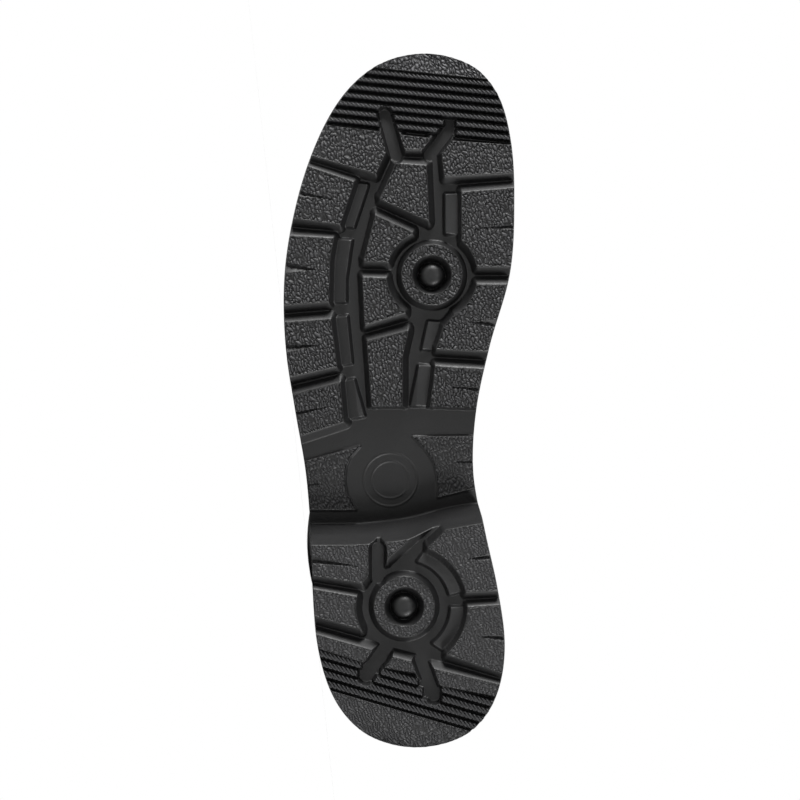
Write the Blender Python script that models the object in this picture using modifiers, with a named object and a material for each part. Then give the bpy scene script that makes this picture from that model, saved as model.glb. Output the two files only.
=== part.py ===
"""Sea boot for the right foot: outsole, upper and insole, laid on its outer side.

All tables are in millimetres in the boot's own frame: x from the back of the heel to the toe,
y from the outer side (minus) to the inner side (plus), z up from the ground the boot stands on.
"""

import math
from collections import namedtuple

import bmesh
import bpy
import numpy as np
from mathutils import Matrix

MM = 0.001

# Driving sizes.
SOLE_LENGTH = 302.0
LUG_HEIGHT = 4.5
STEP_HEIGHT = 2.2
WAIST_BLOCK_HEIGHT = 1.2
LUG_OVERLAP = 1.2
LUG_INSET = 0.5
LIP_HEIGHT = 7.0
LIP_INSET = 4.1
FEATHER_INSET = 4.7
WALL = 2.4
GAP = 0.3
FEATHER_LIFT = 0.7
INSOLE_THICKNESS = 3.0
INSOLE_INSET = FEATHER_INSET + WALL + 1.8
TOE_SPRING = 12.0
SPRING_FROM = 228.0
BREAST_SLOPE = 0.5
HEEL_BLOCK_TOP = 18.2
HEEL_INSET = 0.3
SWELL = 1.2
SWELL_HEIGHT = 10.0
COLLAR_HEIGHT = 288.0
COLLAR_BAND = 12.0
COLLAR_BAND_STEP = 1.2
STATIONS = 57
SIDE_POINTS = 12
ROWS_BETWEEN_SECTIONS = 2

# Rings of the tread: a round stud in a hole, inside a ring, inside a round channel.
FOREFOOT_RING = (205.5, 13.0)
HEEL_RING = (61.5, 1.0)
STUD_RADIUS = 5.7
HOLE_RADIUS = 9.3
RING_RADIUS = 13.3
CHANNEL_RADIUS = 20.0
HEEL_CHANNEL_RADIUS = 21.2
HEEL_STEP_RADII = (20.4, 27.6)

# Ribs across the toe and the heel: the line of rib 0 at y = 0, and the slope of x along y.
TOE_RIB_LINE = 292.15
TOE_RIB_PITCH = 3.74
TOE_RIB_WIDTH = 1.7
TOE_RIB_SLOPE = -0.1
HEEL_RIB_LINE = 30.8
HEEL_RIB_PITCH = 4.05
HEEL_RIB_WIDTH = 2.2
HEEL_RIB_SLOPE = -0.294
RIB_END = 56.0

OutlineRow = namedtuple("OutlineRow", "x centre half_width")
OUTLINE = [
    OutlineRow(0.0, 6.3, 0.0),
    OutlineRow(7.6, 6.3, 24.6),
    OutlineRow(20.0, 5.7, 34.6),
    OutlineRow(45.0, 4.0, 40.9),
    OutlineRow(70.0, 1.3, 40.3),
    OutlineRow(95.0, -2.0, 38.1),
    OutlineRow(120.0, -5.3, 36.8),
    OutlineRow(147.0, -7.0, 39.6),
    OutlineRow(173.0, -6.3, 44.2),
    OutlineRow(206.0, -2.0, 49.1),
    OutlineRow(238.0, 1.7, 47.4),
    OutlineRow(264.0, 5.4, 42.4),
    OutlineRow(286.0, 8.7, 32.6),
    OutlineRow(294.8, 9.8, 23.9),
    OutlineRow(SOLE_LENGTH, 9.8, 0.0),
]

# Height of the surface that carries the foot, before the toe spring.
FloorRow = namedtuple("FloorRow", "x z")
FOOT_FLOOR = [
    FloorRow(0.0, 27.0),
    FloorRow(55.0, 27.0),
    FloorRow(100.0, 23.5),
    FloorRow(150.0, 14.5),
    FloorRow(192.0, 11.0),
    FloorRow(240.0, 11.0),
    FloorRow(302.0, 11.0),
]

# How far the arch lifts the underside. It is read at x as if the breast line ran straight across.
ARCH = [
    FloorRow(0.0, 12.5),
    FloorRow(80.0, 12.5),
    FloorRow(94.0, 12.5),
    FloorRow(104.0, 10.0),
    FloorRow(113.0, 7.6),
    FloorRow(133.0, 3.4),
    FloorRow(150.0, 1.0),
    FloorRow(165.0, 0.0),
    FloorRow(170.0, 0.0),
    FloorRow(302.0, 0.0),
]

# Front edge of the heel at the ground.
BreastRow = namedtuple("BreastRow", "y x")
BREAST_MIDDLE = 90.5
BREAST = [
    BreastRow(-45.0, 88.0),
    BreastRow(-15.0, 88.5),
    BreastRow(2.0, 90.5),
    BreastRow(18.5, 94.5),
    BreastRow(35.0, 97.5),
    BreastRow(45.0, 99.0),
]

# Side of the sole, from the tread edge up: share of the height, and set-in from the outline.
SideRow = namedtuple("SideRow", "share inset")
SOLE_SIDE = [
    SideRow(0.0, 0.0),
    SideRow(0.52, 0.8),
    SideRow(0.58, 1.6),
    SideRow(1.0, 2.0),
]

# Sections of the upper from toe to collar: top or front point, base point (base_z None means on the
# featherline), greatest half width (None means from the featherline), how far from the top and from the
# base the section reaches it, roundness of the top, and the y of base and top (None: the featherline's).
Section = namedtuple(
    "Section", "top_x top_z base_x base_z half_width front_depth back_depth square base_y top_y"
)
SECTIONS = [
    Section(297.0, 43.0, 297.3, None, None, 14.5, 6.2, 2.6, None, 9.8),
    Section(293.0, 51.5, 293.0, None, None, 22.0, 8.5, 2.6, None, 9.6),
    Section(284.0, 60.0, 284.0, None, None, 30.6, 10.8, 2.5, None, 9.0),
    Section(270.0, 66.0, 270.0, None, None, 37.8, 12.6, 2.4, None, 8.0),
    Section(250.0, 71.5, 250.0, None, None, 44.6, 14.0, 2.3, None, 6.4),
    Section(228.0, 78.0, 228.0, None, None, 50.4, 16.0, 2.2, None, 5.0),
    Section(205.0, 86.5, 205.0, None, None, 56.8, 18.0, 2.1, None, 3.4),
    Section(182.0, 98.5, 182.0, None, None, 64.7, 21.6, 2.0, None, 1.4),
    Section(165.0, 112.0, 164.0, None, None, 71.8, 26.6, 2.0, None, 0.0),
    Section(152.0, 127.0, 146.0, None, 35.4, 77.0, 34.0, 2.0, None, -1.2),
    Section(147.0, 134.5, 118.0, None, 35.0, 79.0, 42.0, 2.0, None, -1.4),
    Section(143.0, 142.0, 86.0, None, 35.6, 80.0, 52.0, 2.0, None, -1.4),
    Section(140.0, 149.0, 54.0, None, 36.8, 81.0, 64.0, 2.0, None, -1.4),
    Section(138.0, 155.0, 28.0, None, 37.7, 82.0, 75.0, 2.0, None, -1.4),
    Section(136.5, 160.5, 11.5, None, 38.2, 82.0, 82.0, 2.0, None, -1.4),
    Section(135.5, 166.0, 4.7, None, 38.5, 82.0, 86.0, 2.0, None, -1.4),
    Section(134.6, 174.0, 4.6, 48.0, 38.7, 81.0, 83.0, 2.0, 5.4, -1.4),
    Section(134.0, 184.0, 5.2, 80.0, 39.0, 79.0, 78.0, 2.0, 3.4, -1.4),
    Section(134.0, 197.0, 8.0, 118.0, 39.6, 75.0, 71.0, 2.0, 1.2, -1.4),
    Section(134.8, 214.0, 8.8, 160.0, 40.8, 70.0, 67.0, 2.0, -0.2, -1.4),
    Section(136.2, 234.0, 7.6, 202.0, 42.4, 66.4, 66.0, 2.0, -1.0, -1.4),
    Section(138.0, 254.0, 5.6, 241.0, 44.0, 66.5, 66.5, 2.0, -1.4, -1.4),
    Section(139.4, 268.0, 4.2, 266.0, 45.2, 67.6, 67.6, 2.0, -1.4, -1.4),
    Section(140.0, 275.0, 3.6, 275.0, 45.8, 68.2, 68.2, 2.0, -1.4, -1.4),
]


def curve(rows, at):
    """Smooth curve through two-column rows, read at an array of places."""
    knots, values = (np.array(column, float) for column in zip(*rows))
    slopes = np.gradient(values, knots)
    at = np.clip(np.asarray(at, float), knots[0], knots[-1])
    i = np.clip(np.searchsorted(knots, at) - 1, 0, len(knots) - 2)
    step = knots[i + 1] - knots[i]
    t = (at - knots[i]) / step
    rise = values[i] * (1 + 2 * t) * (1 - t) ** 2 + values[i + 1] * t * t * (3 - 2 * t)
    return rise + step * (slopes[i] * t * (1 - t) ** 2 + slopes[i + 1] * t * t * (t - 1))


def turn(x):
    """Place along the sole as an angle, so that the round ends are evenly cut."""
    return np.arccos(np.clip(1 - 2 * np.asarray(x, float) / SOLE_LENGTH, -1, 1))


def sole_halves(x):
    """Centre and half width of the sole's outline at x."""
    centre = curve([(turn(row.x), row.centre) for row in OUTLINE], turn(x))
    half = curve([(turn(row.x), row.half_width) for row in OUTLINE], turn(x))
    return centre, half


def sole_loop(inset, count=STATIONS):
    """Outline set in along its normal: from the heel up the outer side, then back on the inner side."""
    x = SOLE_LENGTH * (1 - np.cos(np.linspace(0, math.pi, count))) / 2
    centre, half = sole_halves(x)
    outer = np.column_stack([x, centre - half])
    inner = np.column_stack([x, centre + half])
    loop = np.vstack([outer, inner[-2:0:-1]])
    along = np.roll(loop, -1, axis=0) - np.roll(loop, 1, axis=0)
    along /= np.linalg.norm(along, axis=1)[:, None]
    return loop + inset * np.column_stack([-along[:, 1], along[:, 0]])


def foot_floor(x):
    return curve(FOOT_FLOOR, x)


def toe_spring(x):
    past = np.clip(np.asarray(x, float) - SPRING_FROM, 0, None)
    return TOE_SPRING * (past / (SOLE_LENGTH - SPRING_FROM)) ** 2


def breast_line(y):
    return curve(BREAST, y)


def collection(name, shown):
    made = bpy.data.collections.new(name)
    made.hide_render = not shown
    bpy.context.scene.collection.children.link(made)
    return made


def mesh_object(name, points, faces, where):
    """Object from points in millimetres and faces, with doubled points merged and faces outwards."""
    mesh = bpy.data.meshes.new(name)
    mesh.from_pydata((np.asarray(points) * MM).tolist(), [], faces)
    made = bpy.data.objects.new(name, mesh)
    where.objects.link(made)
    tidy(made)
    return made


def tidy(made):
    work = bmesh.new()
    work.from_mesh(made.data)
    bmesh.ops.remove_doubles(work, verts=work.verts, dist=1e-6)
    bmesh.ops.dissolve_degenerate(work, edges=work.edges, dist=1e-7)
    bmesh.ops.recalc_face_normals(work, faces=work.faces)
    work.to_mesh(made.data)
    work.free()


def bake(made):
    """Put the result of the object's modifiers, or of its curve, in a mesh of its own."""
    seen = made.evaluated_get(bpy.context.evaluated_depsgraph_get())
    return bpy.data.meshes.new_from_object(seen)


def combine(target, tool, operation):
    """Boolean of the target with the tool, which stays as a wire cutter."""
    tool.display_type = "WIRE"
    tool.hide_render = True
    step = target.modifiers.new(operation, "BOOLEAN")
    step.operation = operation
    step.solver = "EXACT"
    step.object = tool
    mesh = bake(target)
    target.modifiers.clear()
    target.data = mesh
    tidy(target)


def prism(name, outlines, bottom, top, where):
    """Flat outlines, nested ones as holes, raised from one height to another."""
    flat = bpy.data.curves.new(name, "CURVE")
    flat.dimensions = "2D"
    flat.fill_mode = "BOTH"
    flat.extrude = (top - bottom) / 2 * MM
    for outline in outlines:
        spline = flat.splines.new("POLY")
        spline.points.add(len(outline) - 1)
        for point, (x, y) in zip(spline.points, outline):
            point.co = (x * MM, y * MM, 0.0, 1.0)
        spline.use_cyclic_u = True
    drawn = bpy.data.objects.new(name + "_outline", flat)
    where.objects.link(drawn)
    solid = bpy.data.objects.new(name, bake(drawn))
    bpy.data.objects.remove(drawn)
    where.objects.link(solid)
    solid.data.transform(Matrix.Translation((0, 0, (top + bottom) / 2 * MM)))
    tidy(solid)
    return solid


def arc(middle, radius, start, end, count=9):
    """Points of an arc, its angles in degrees from the toe direction towards the inner side."""
    angle = np.radians(np.linspace(start, end, count))
    return [(middle[0] + radius * math.cos(a), middle[1] + radius * math.sin(a)) for a in angle]


def circle(middle, radius):
    return arc(middle, radius, 0, 345, 24)


def rib(line, slope, width, start, end):
    """Bar of this width that crosses the sole from one y to another."""
    half = width / 2
    return [
        (line + slope * start - half, start),
        (line + slope * end - half, end),
        (line + slope * end + half, end),
        (line + slope * start + half, start),
    ]


def loft_faces(rings, count, capped=True):
    """Faces between closed rings of one length, with strips across the first and last ring."""
    faces = []
    for j in range(rings - 1):
        for i in range(count):
            k = (i + 1) % count
            faces.append((j * count + i, j * count + k, (j + 1) * count + k, (j + 1) * count + i))
    half = count // 2
    for first in (0, (rings - 1) * count) if capped else ():
        for i in range(half):
            across = [i, i + 1, (count - i - 1) % count, (count - i) % count]
            faces.append(tuple(first + k for k in dict.fromkeys(across)))
    return faces


def forefoot_lugs():
    """Outlines of the full-height blocks from toe to waist, drawn past the edge where they reach it."""
    ring = FOREFOOT_RING
    lugs = [
        [(298.6, -44), (288.6, 56), (310, 56), (310, -44)],
        [(271.5, -46), (267.5, -11), (266.5, -9), (260, -6.5), (249.5, -11.5), (259.6, -48)],
        [(255.8, -52), (245.5, -21), (227.5, -27), (231, -54)],
        [(222.5, -57), (221, -30), (212, -31.5), (194, -32), (192, -57)],
        [(184, -57), (186, -31), (166, -28.5), (159.8, -56)],
        [(151.3, -55), (158.5, -27), (142, -25.5), (133, -53)],
        [(266, -1), (264.5, 12.5), (260, 10), (260, 1.5)],
        [(253.5, -2.5), (252.5, 10.5), (229, 11.5), (238.5, -9.5)],
        [(231, -11.5)] + arc(ring, CHANNEL_RADIUS, -25, -73) + [(211.5, -16.5)],
        [(204, -17)] + arc(ring, CHANNEL_RADIUS, -95, -144) + [(184, -16)],
        [(176.5, -15), (181, 2.5), (170, 0), (148.5, 0), (148.5, -13)],
        [(263.5, 20.5), (261, 57), (250.7, 57), (248.5, 18.5), (259, 17.5)],
        [(241, 26), (243.7, 57), (209.3, 57)] + arc(ring, CHANNEL_RADIUS, 79, 41),
        [(201, 57)] + arc(ring, CHANNEL_RADIUS, 103, 151) + [(182.5, 18), (173.5, 15), (171.7, 50)],
        [(165.5, 14.5), (163.5, 48), (147, 46), (148.5, 12.5)],
    ]
    lugs += [circle(ring, radius) for radius in (RING_RADIUS, HOLE_RADIUS, STUD_RADIUS)]
    spans = [[(-RIB_END, RIB_END)]] * 5 + [[(-RIB_END, -10), (-4.4, 18), (24, RIB_END)]] * 2
    for number, pieces in enumerate(spans):
        line = TOE_RIB_LINE - number * TOE_RIB_PITCH
        lugs += [rib(line, TOE_RIB_SLOPE, TOE_RIB_WIDTH, *piece) for piece in pieces]
    return lugs


def heel_lugs():
    """Outlines of the full-height blocks of the heel, drawn past its edge where they reach it."""
    ring = HEEL_RING
    step = HEEL_STEP_RADII[1]
    lugs = [
        [(104, -48), (104, -13.9), (77, -13.5), (72, -17.5), (76.7, -48)],
        [(82, -7), (104, -7.2), (104, 17.5)],
        [(70.6, -48)] + arc(ring, HEEL_CHANNEL_RADIUS, -79, -117) + [(60.3, -48)],
        [(52.3, -48), (42, -11.5), (37.5, -17), (47.3, -48)],
        [(39.5, -4), (37, 5.5), (32.7, 6.5), (35.2, -7.5)],
        [(110, 34.5)] + arc(ring, step, 22, 76) + [(69, 52), (110, 52)],
        [(62.6, 52)] + arc(ring, step, 91, 138) + [(29.8, 52)],
        [(34.5, 13), (25, 52), (20.5, 52), (27.9, 14)],
        [(31.2, -52), (0.6, 52), (-6, 52), (-6, -52)],
    ]
    lugs += [circle(ring, radius) for radius in (RING_RADIUS, HOLE_RADIUS, STUD_RADIUS)]
    spans = [
        [(-RIB_END, -18), (-9, 6.5), (17.5, RIB_END)],
        [(-RIB_END, -19.5), (-12, 8.5), (17, RIB_END)],
        [(-RIB_END, RIB_END)],
        [(-RIB_END, RIB_END)],
    ]
    for number, pieces in enumerate(spans):
        line = HEEL_RIB_LINE - number * HEEL_RIB_PITCH
        lugs += [rib(line, HEEL_RIB_SLOPE, HEEL_RIB_WIDTH, *piece) for piece in pieces]
    return lugs


def forefoot_steps():
    """Lower smooth strips along the inner edges of the side blocks."""
    return [
        [(246, -23), (244.5, -15), (226.5, -21), (227.8, -29)],
        [(220.9, -32), (220.5, -22), (203.5, -24.5), (194.1, -24.5), (194.1, -34)],
        [(186, -33), (187.5, -24), (167.5, -22), (165.8, -30.5)],
        [(158, -29), (160, -21), (150, -18), (144.5, -16.5), (142.2, -27.5)],
        [(240.5, 19), (240.8, 28), (223.5, 28), (224, 19)],
        [(185, 11.5), (184.5, 19.5), (173.7, 17), (173.5, 9)],
        [(166, 7.5), (165.3, 16.5), (148.7, 14.5), (149, 4)],
    ]


def heel_steps():
    """Lower curved strips between the heel's inner blocks and its ring."""
    low, high = HEEL_STEP_RADII
    return [
        arc(HEEL_RING, low, 17, 75) + arc(HEEL_RING, high + 1.2, 75, 23),
        arc(HEEL_RING, low, 92, 142) + arc(HEEL_RING, high + 1.2, 137, 92),
    ]


def waist_blocks():
    """Low blocks on the arch, either side of the round bare field."""
    return [
        [(122.8, -48), (131, -18.5), (126.5, -22.5), (121.5, -24.5), (115.5, -25), (110, -24), (103, -20),
         (103, -48)],
        [(135, 5), (135.6, 42), (115.2, 42), (108.5, 16), (118, 15.5), (124, 14), (130, 10)],
    ]


def heel_loop(inset, lift, count=25, across=9):
    """Outline of the heel at a height, from its back end up the outer side, along the breast and back."""
    loop = sole_loop(inset, 2 * STATIONS)
    half = len(loop) // 2
    outer = loop[: half + 1]
    inner = np.vstack([loop[half:], loop[:1]])[::-1]
    fronts = [breast_line(y) + BREAST_SLOPE * lift for y in (-38.5, 35.0)]
    sides = []
    for side, front in zip((outer, inner), fronts):
        x = loop[0, 0] + (front - loop[0, 0]) * (1 - np.cos(np.linspace(0, math.pi / 2, count)))
        sides.append(np.column_stack([x, np.interp(x, side[:, 0], side[:, 1])]))
    y = np.linspace(sides[0][-1, 1], sides[1][-1, 1], across)[1:-1]
    front = np.column_stack([breast_line(y) + BREAST_SLOPE * lift, y])
    return np.vstack([sides[0], front, sides[1][:0:-1]])


def heel_solid(name, inset, bottom, top, where):
    """Heel between two heights, with its breast leaning forward as it rises."""
    rings = [np.column_stack([loop, np.full(len(loop), z)])
             for z, loop in ((bottom, heel_loop(inset, bottom)), (top, heel_loop(inset, top)))]
    count = len(rings[0])
    faces = loft_faces(2, count, capped=False)
    faces += [tuple(range(count)), tuple(range(count, 2 * count))]
    return mesh_object(name, np.vstack(rings), faces, where)


def sole_body(where):
    """Base of the outsole, flat underneath, with the low side wall that cups the upper."""
    rings = []
    for row in SOLE_SIDE:
        loop = sole_loop(row.inset)
        top = foot_floor(loop[:, 0]) + LIP_HEIGHT
        rings.append(np.column_stack([loop, LUG_HEIGHT + row.share * (top - LUG_HEIGHT)]))
    inside = sole_loop(LIP_INSET)
    floor = foot_floor(inside[:, 0])
    rings.append(np.column_stack([inside, floor + LIP_HEIGHT]))
    rings.append(np.column_stack([inside, floor]))
    return mesh_object("outsole", np.vstack(rings), loft_faces(len(rings), len(inside)), where)


def spring_and_arch(made):
    """Lift the toe, and lift the underside at the arch while the foot floor stays."""
    work = bmesh.new()
    work.from_mesh(made.data)
    bmesh.ops.triangulate(work, faces=work.faces)
    work.to_mesh(made.data)
    work.free()
    points = coordinates(made) / MM
    x, y, z = points.T
    share = np.clip((z - LUG_HEIGHT) / (foot_floor(x) - LUG_HEIGHT), 0, 1)
    arch = curve(ARCH, x - breast_line(y) + BREAST_MIDDLE)
    points[:, 2] = z + toe_spring(x) + arch * (1 - share)
    made.data.vertices.foreach_set("co", (points * MM).ravel())


def outsole(parts, cutters):
    """Whole outsole: base, blocks, steps and ribs, bent to the arch and toe spring, then the heel."""
    made = sole_body(parts)
    root = LUG_HEIGHT + LUG_OVERLAP
    edge = prism("tread_edge", [sole_loop(LUG_INSET)], -2, root + 2, cutters)
    for name, outlines, height in (
        ("forefoot_lugs", forefoot_lugs(), LUG_HEIGHT),
        ("forefoot_steps", forefoot_steps(), STEP_HEIGHT),
        ("waist_blocks", waist_blocks(), WAIST_BLOCK_HEIGHT),
    ):
        blocks = prism(name, outlines, LUG_HEIGHT - height, root, cutters)
        combine(blocks, edge, "INTERSECT")
        combine(made, blocks, "UNION")
    spring_and_arch(made)
    heel = heel_solid("heel", HEEL_INSET, LUG_HEIGHT, HEEL_BLOCK_TOP, cutters)
    edge = heel_solid("heel_edge", HEEL_INSET + LUG_INSET, -2, root + 2, cutters)
    for name, outlines, height in (
        ("heel_lugs", heel_lugs(), LUG_HEIGHT),
        ("heel_steps", heel_steps(), STEP_HEIGHT),
    ):
        blocks = prism(name, outlines, LUG_HEIGHT - height, root, cutters)
        combine(blocks, edge, "INTERSECT")
        combine(heel, blocks, "UNION")
    combine(made, heel, "UNION")
    return made


def feather_sides():
    """Outer and inner side of the featherline, both from heel to toe."""
    feather = sole_loop(FEATHER_INSET, 4 * STATIONS)
    half = len(feather) // 2
    return feather[: half + 1], np.vstack([feather[half:], feather[:1]])[::-1]


def section_columns():
    """Columns of the section table, read at the rows that the upper is made of."""
    outer, inner = feather_sides()
    base_x = np.array([min(row.base_x, outer[-1, 0]) for row in SECTIONS])
    closed = [row.base_z is not None for row in SECTIONS]
    base_x[closed.index(True) - 1] = outer[0, 0]
    index = np.arange(len(SECTIONS))
    fine = np.linspace(0, index[-1], index[-1] * ROWS_BETWEEN_SECTIONS + 1)
    last_open = closed.index(True) - 1
    on_sole = fine <= last_open
    x = curve(list(zip(index, base_x)), fine)
    x = np.where(on_sole, np.clip(x, outer[0, 0], outer[-1, 0]), x)
    left = np.interp(x, outer[:, 0], outer[:, 1])
    right = np.interp(x, inner[:, 0], inner[:, 1])
    floor = foot_floor(x) + toe_spring(x) + FEATHER_LIFT
    base_half = np.where(on_sole, (right - left) / 2, 0.0)
    heel_y = outer[0, 1]
    heel_z = foot_floor(outer[0, 0]) + FEATHER_LIFT
    back_z = [heel_z if row.base_z is None else row.base_z for row in SECTIONS]
    back_y = [heel_y if row.base_y is None else row.base_y for row in SECTIONS]
    base_z = np.where(on_sole, floor, curve(list(zip(index, back_z)), fine))
    base_y = np.where(on_sole, (left + right) / 2, curve(list(zip(index, back_y)), fine))
    at = np.interp(base_x, outer[:, 0], outer[:, 1])
    widths = (np.interp(base_x, inner[:, 0], inner[:, 1]) - at) / 2 * 1.008
    widths = [given if row.half_width is None else row.half_width for row, given in zip(SECTIONS, widths)]
    half_width = np.maximum(curve(list(zip(index, widths)), fine), base_half * 1.004)
    foot = fine <= sum(row.half_width is None for row in SECTIONS) - 1
    half_width = np.where(foot, base_half * 1.008, half_width)
    named = {name: curve([(i, getattr(row, name)) for i, row in enumerate(SECTIONS)], fine)
             for name in ("top_x", "top_z", "front_depth", "back_depth", "square", "top_y")}
    named.update(base_x=x, base_z=base_z, base_y=base_y, base_half=base_half, half_width=half_width)
    return named


def collar_rows(column):
    """Extra level rows that form the raised band along the collar."""
    rows = []
    for z, step in (
        (COLLAR_HEIGHT - COLLAR_BAND, COLLAR_BAND_STEP),
        (COLLAR_HEIGHT - COLLAR_BAND / 2, COLLAR_BAND_STEP),
        (COLLAR_HEIGHT, COLLAR_BAND_STEP),
    ):
        row = {name: values[-1] for name, values in column.items()}
        row.update(top_z=z, base_z=z, top_x=row["top_x"] + step, base_x=row["base_x"] - step)
        for name in ("half_width", "front_depth", "back_depth"):
            row[name] += step
        rows.append(row)
    return {name: np.append(values, [row[name] for row in rows]) for name, values in column.items()}


def upper_grid():
    """Outer face of the upper: for each row, points from the outer base over the top to the inner base.

    Half width at share p from base to top: within front_depth of the top a superellipse closes it, and
    within back_depth of the base an ellipse runs down to the base's own half width. Inside the sole's
    side wall the face keeps to the featherline, and it swells past it only above.
    """
    column = collar_rows(section_columns())
    get = {name: values[:, None] for name, values in column.items()}
    p = (1 - np.cos(np.linspace(0, math.pi, SIDE_POINTS + 1)))[None, :] / 2
    length = np.hypot(get["top_x"] - get["base_x"], get["top_z"] - get["base_z"])
    ratio = np.clip(get["base_half"] / np.maximum(get["half_width"], 1e-6), 0, 1)
    below = np.sqrt(1 - ratio**2) * np.clip(1 - p * length / get["back_depth"], 0, 1)
    above = np.clip(1 - (1 - p) * length / get["front_depth"], 0, 1)
    half = get["half_width"] * np.sqrt(1 - below**2) * (1 - above ** get["square"]) ** (1 / get["square"])
    middle = get["base_y"] + (get["top_y"] - get["base_y"]) * p * p * (3 - 2 * p)
    x = get["base_x"] + (get["top_x"] - get["base_x"]) * p
    z = get["base_z"] + (get["top_z"] - get["base_z"]) * p
    left, right = feather_sides()
    above_lip = np.clip(z - foot_floor(x) - toe_spring(x) - LIP_HEIGHT, 0, None)
    swell = SWELL * above_lip**2 / (above_lip + SWELL_HEIGHT)
    low = np.maximum(middle - half, np.interp(x, left[:, 0], left[:, 1]) - swell)
    high = np.minimum(middle + half, np.interp(x, right[:, 0], right[:, 1]) + swell)
    outer = np.stack([x, low, z], axis=-1)
    inner = np.stack([x, high, z], axis=-1)
    return np.concatenate([outer, inner[:, -2::-1]], axis=1)


def upper(where):
    """Hollow upper: the outer face given its wall inwards."""
    grid = upper_grid()
    rows, columns = grid.shape[:2]
    faces = []
    for j in range(rows - 1):
        for i in range(columns - 1):
            k = j * columns + i
            faces.append((k, k + 1, k + columns + 1, k + columns))
    made = mesh_object("upper", grid.reshape(-1, 3), faces, where)
    wall = made.modifiers.new("wall", "SOLIDIFY")
    wall.thickness = WALL * MM
    wall.offset = -1.0
    wall.use_even_offset = True
    made.data = bake(made)
    made.modifiers.clear()
    tidy(made)
    return made


def insole(where):
    """Footbed on the foot floor, inside the upper."""
    loop = sole_loop(INSOLE_INSET)
    floor = foot_floor(loop[:, 0]) + toe_spring(loop[:, 0]) + GAP + 0.1
    rings = [np.column_stack([loop, floor]), np.column_stack([loop, floor + INSOLE_THICKNESS])]
    return mesh_object("insole", np.vstack(rings), loft_faces(2, len(loop)), where)


def material(made, name, colour, roughness):
    paint = bpy.data.materials.new(name)
    paint.use_nodes = True
    shader = paint.node_tree.nodes["Principled BSDF"]
    shader.inputs["Base Color"].default_value = (*colour, 1.0)
    shader.inputs["Roughness"].default_value = roughness
    paint.diffuse_color = (*colour, 1.0)
    made.data.materials.clear()
    made.data.materials.append(paint)


def coordinates(made):
    flat = np.empty(len(made.data.vertices) * 3)
    made.data.vertices.foreach_get("co", flat)
    return flat.reshape(-1, 3)


def lying(points):
    """Turn and place for the boot on its outer side: forefoot edge, heel edge and collar on the floor.

    The floor is the plane y = a + b x + c z under the lowest point of each of the three regions.
    """
    x, y, z = points.T
    regions = (
        (x > 0.130) & (z < 0.040),
        (x < 0.110) & (z < 0.040),
        z > 0.200,
    )
    slope = np.zeros(2)
    for _ in range(12):
        height = y - slope[0] * x - slope[1] * z
        three = [np.flatnonzero(region)[np.argmin(height[region])] for region in regions]
        plane = np.linalg.solve(np.column_stack([np.ones(3), x[three], z[three]]), y[three])
        slope = plane[1:]
    up = np.array([-slope[0], 1.0, -slope[1]])
    up /= np.linalg.norm(up)
    across = np.array([-1.0, 0.0, 0.0])
    across -= across.dot(up) * up
    across /= np.linalg.norm(across)
    rotation = np.vstack([across, np.cross(up, across), up])
    turned = points @ rotation.T
    low, high = turned.min(axis=0), turned.max(axis=0)
    move = -np.array([(low[0] + high[0]) / 2, (low[1] + high[1]) / 2, low[2]])
    place = Matrix.Identity(4)
    for i in range(3):
        place[i][:3] = rotation[i]
        place[i][3] = move[i]
    return place


def main():
    for old in list(bpy.data.objects):
        bpy.data.objects.remove(old)
    parts = collection("sea_boot", True)
    cutters = collection("sea_boot_cutters", False)
    made = [outsole(parts, cutters), upper(parts), insole(parts)]
    material(made[0], "black moulded rubber", (0.038, 0.038, 0.039), 0.55)
    material(made[1], "black rubber sheet", (0.032, 0.032, 0.033), 0.45)
    material(made[2], "grey felt", (0.16, 0.16, 0.16), 0.95)
    rest = bpy.data.objects.new("lying_boot", None)
    parts.objects.link(rest)
    rest.matrix_world = lying(np.vstack([coordinates(piece) for piece in made]))
    for piece in made:
        piece.parent = rest


main()
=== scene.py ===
"""Sea boot for the right foot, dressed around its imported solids: moulded sole, upper, insole and stage.

Lengths in the functions are millimetres in the boot's own frame: x from the back of the heel to the toe,
y from the outer side (minus) to the inner side (plus), z up from the ground the boot stands on. The finished
points are then turned and placed so that the boot lies on its outer side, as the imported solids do.
"""

import math
from collections import namedtuple
from functools import partial

import bpy
import numpy as np
from mathutils import Matrix


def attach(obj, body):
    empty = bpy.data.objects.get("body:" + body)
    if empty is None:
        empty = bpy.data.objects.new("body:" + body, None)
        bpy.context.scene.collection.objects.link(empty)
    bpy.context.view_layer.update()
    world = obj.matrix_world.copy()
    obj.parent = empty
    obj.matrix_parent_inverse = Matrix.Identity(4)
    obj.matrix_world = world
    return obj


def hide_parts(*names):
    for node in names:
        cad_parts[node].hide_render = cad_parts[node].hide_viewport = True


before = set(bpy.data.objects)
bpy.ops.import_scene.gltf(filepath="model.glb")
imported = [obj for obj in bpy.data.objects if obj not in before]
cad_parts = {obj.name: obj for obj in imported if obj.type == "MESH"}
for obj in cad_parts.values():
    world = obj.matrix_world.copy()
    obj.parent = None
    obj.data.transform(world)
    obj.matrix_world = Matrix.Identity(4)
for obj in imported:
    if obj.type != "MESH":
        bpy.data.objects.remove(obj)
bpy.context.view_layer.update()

bl_info = {
    "name": "Sea boot",
    "version": (1, 0, 0),
    "blender": (4, 5, 0),
    "location": "View3D > Sidebar > Boot",
    "description": "Builds a lugged rubber sea boot around its solids",
    "category": "Object",
}

MM = 0.001

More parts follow.
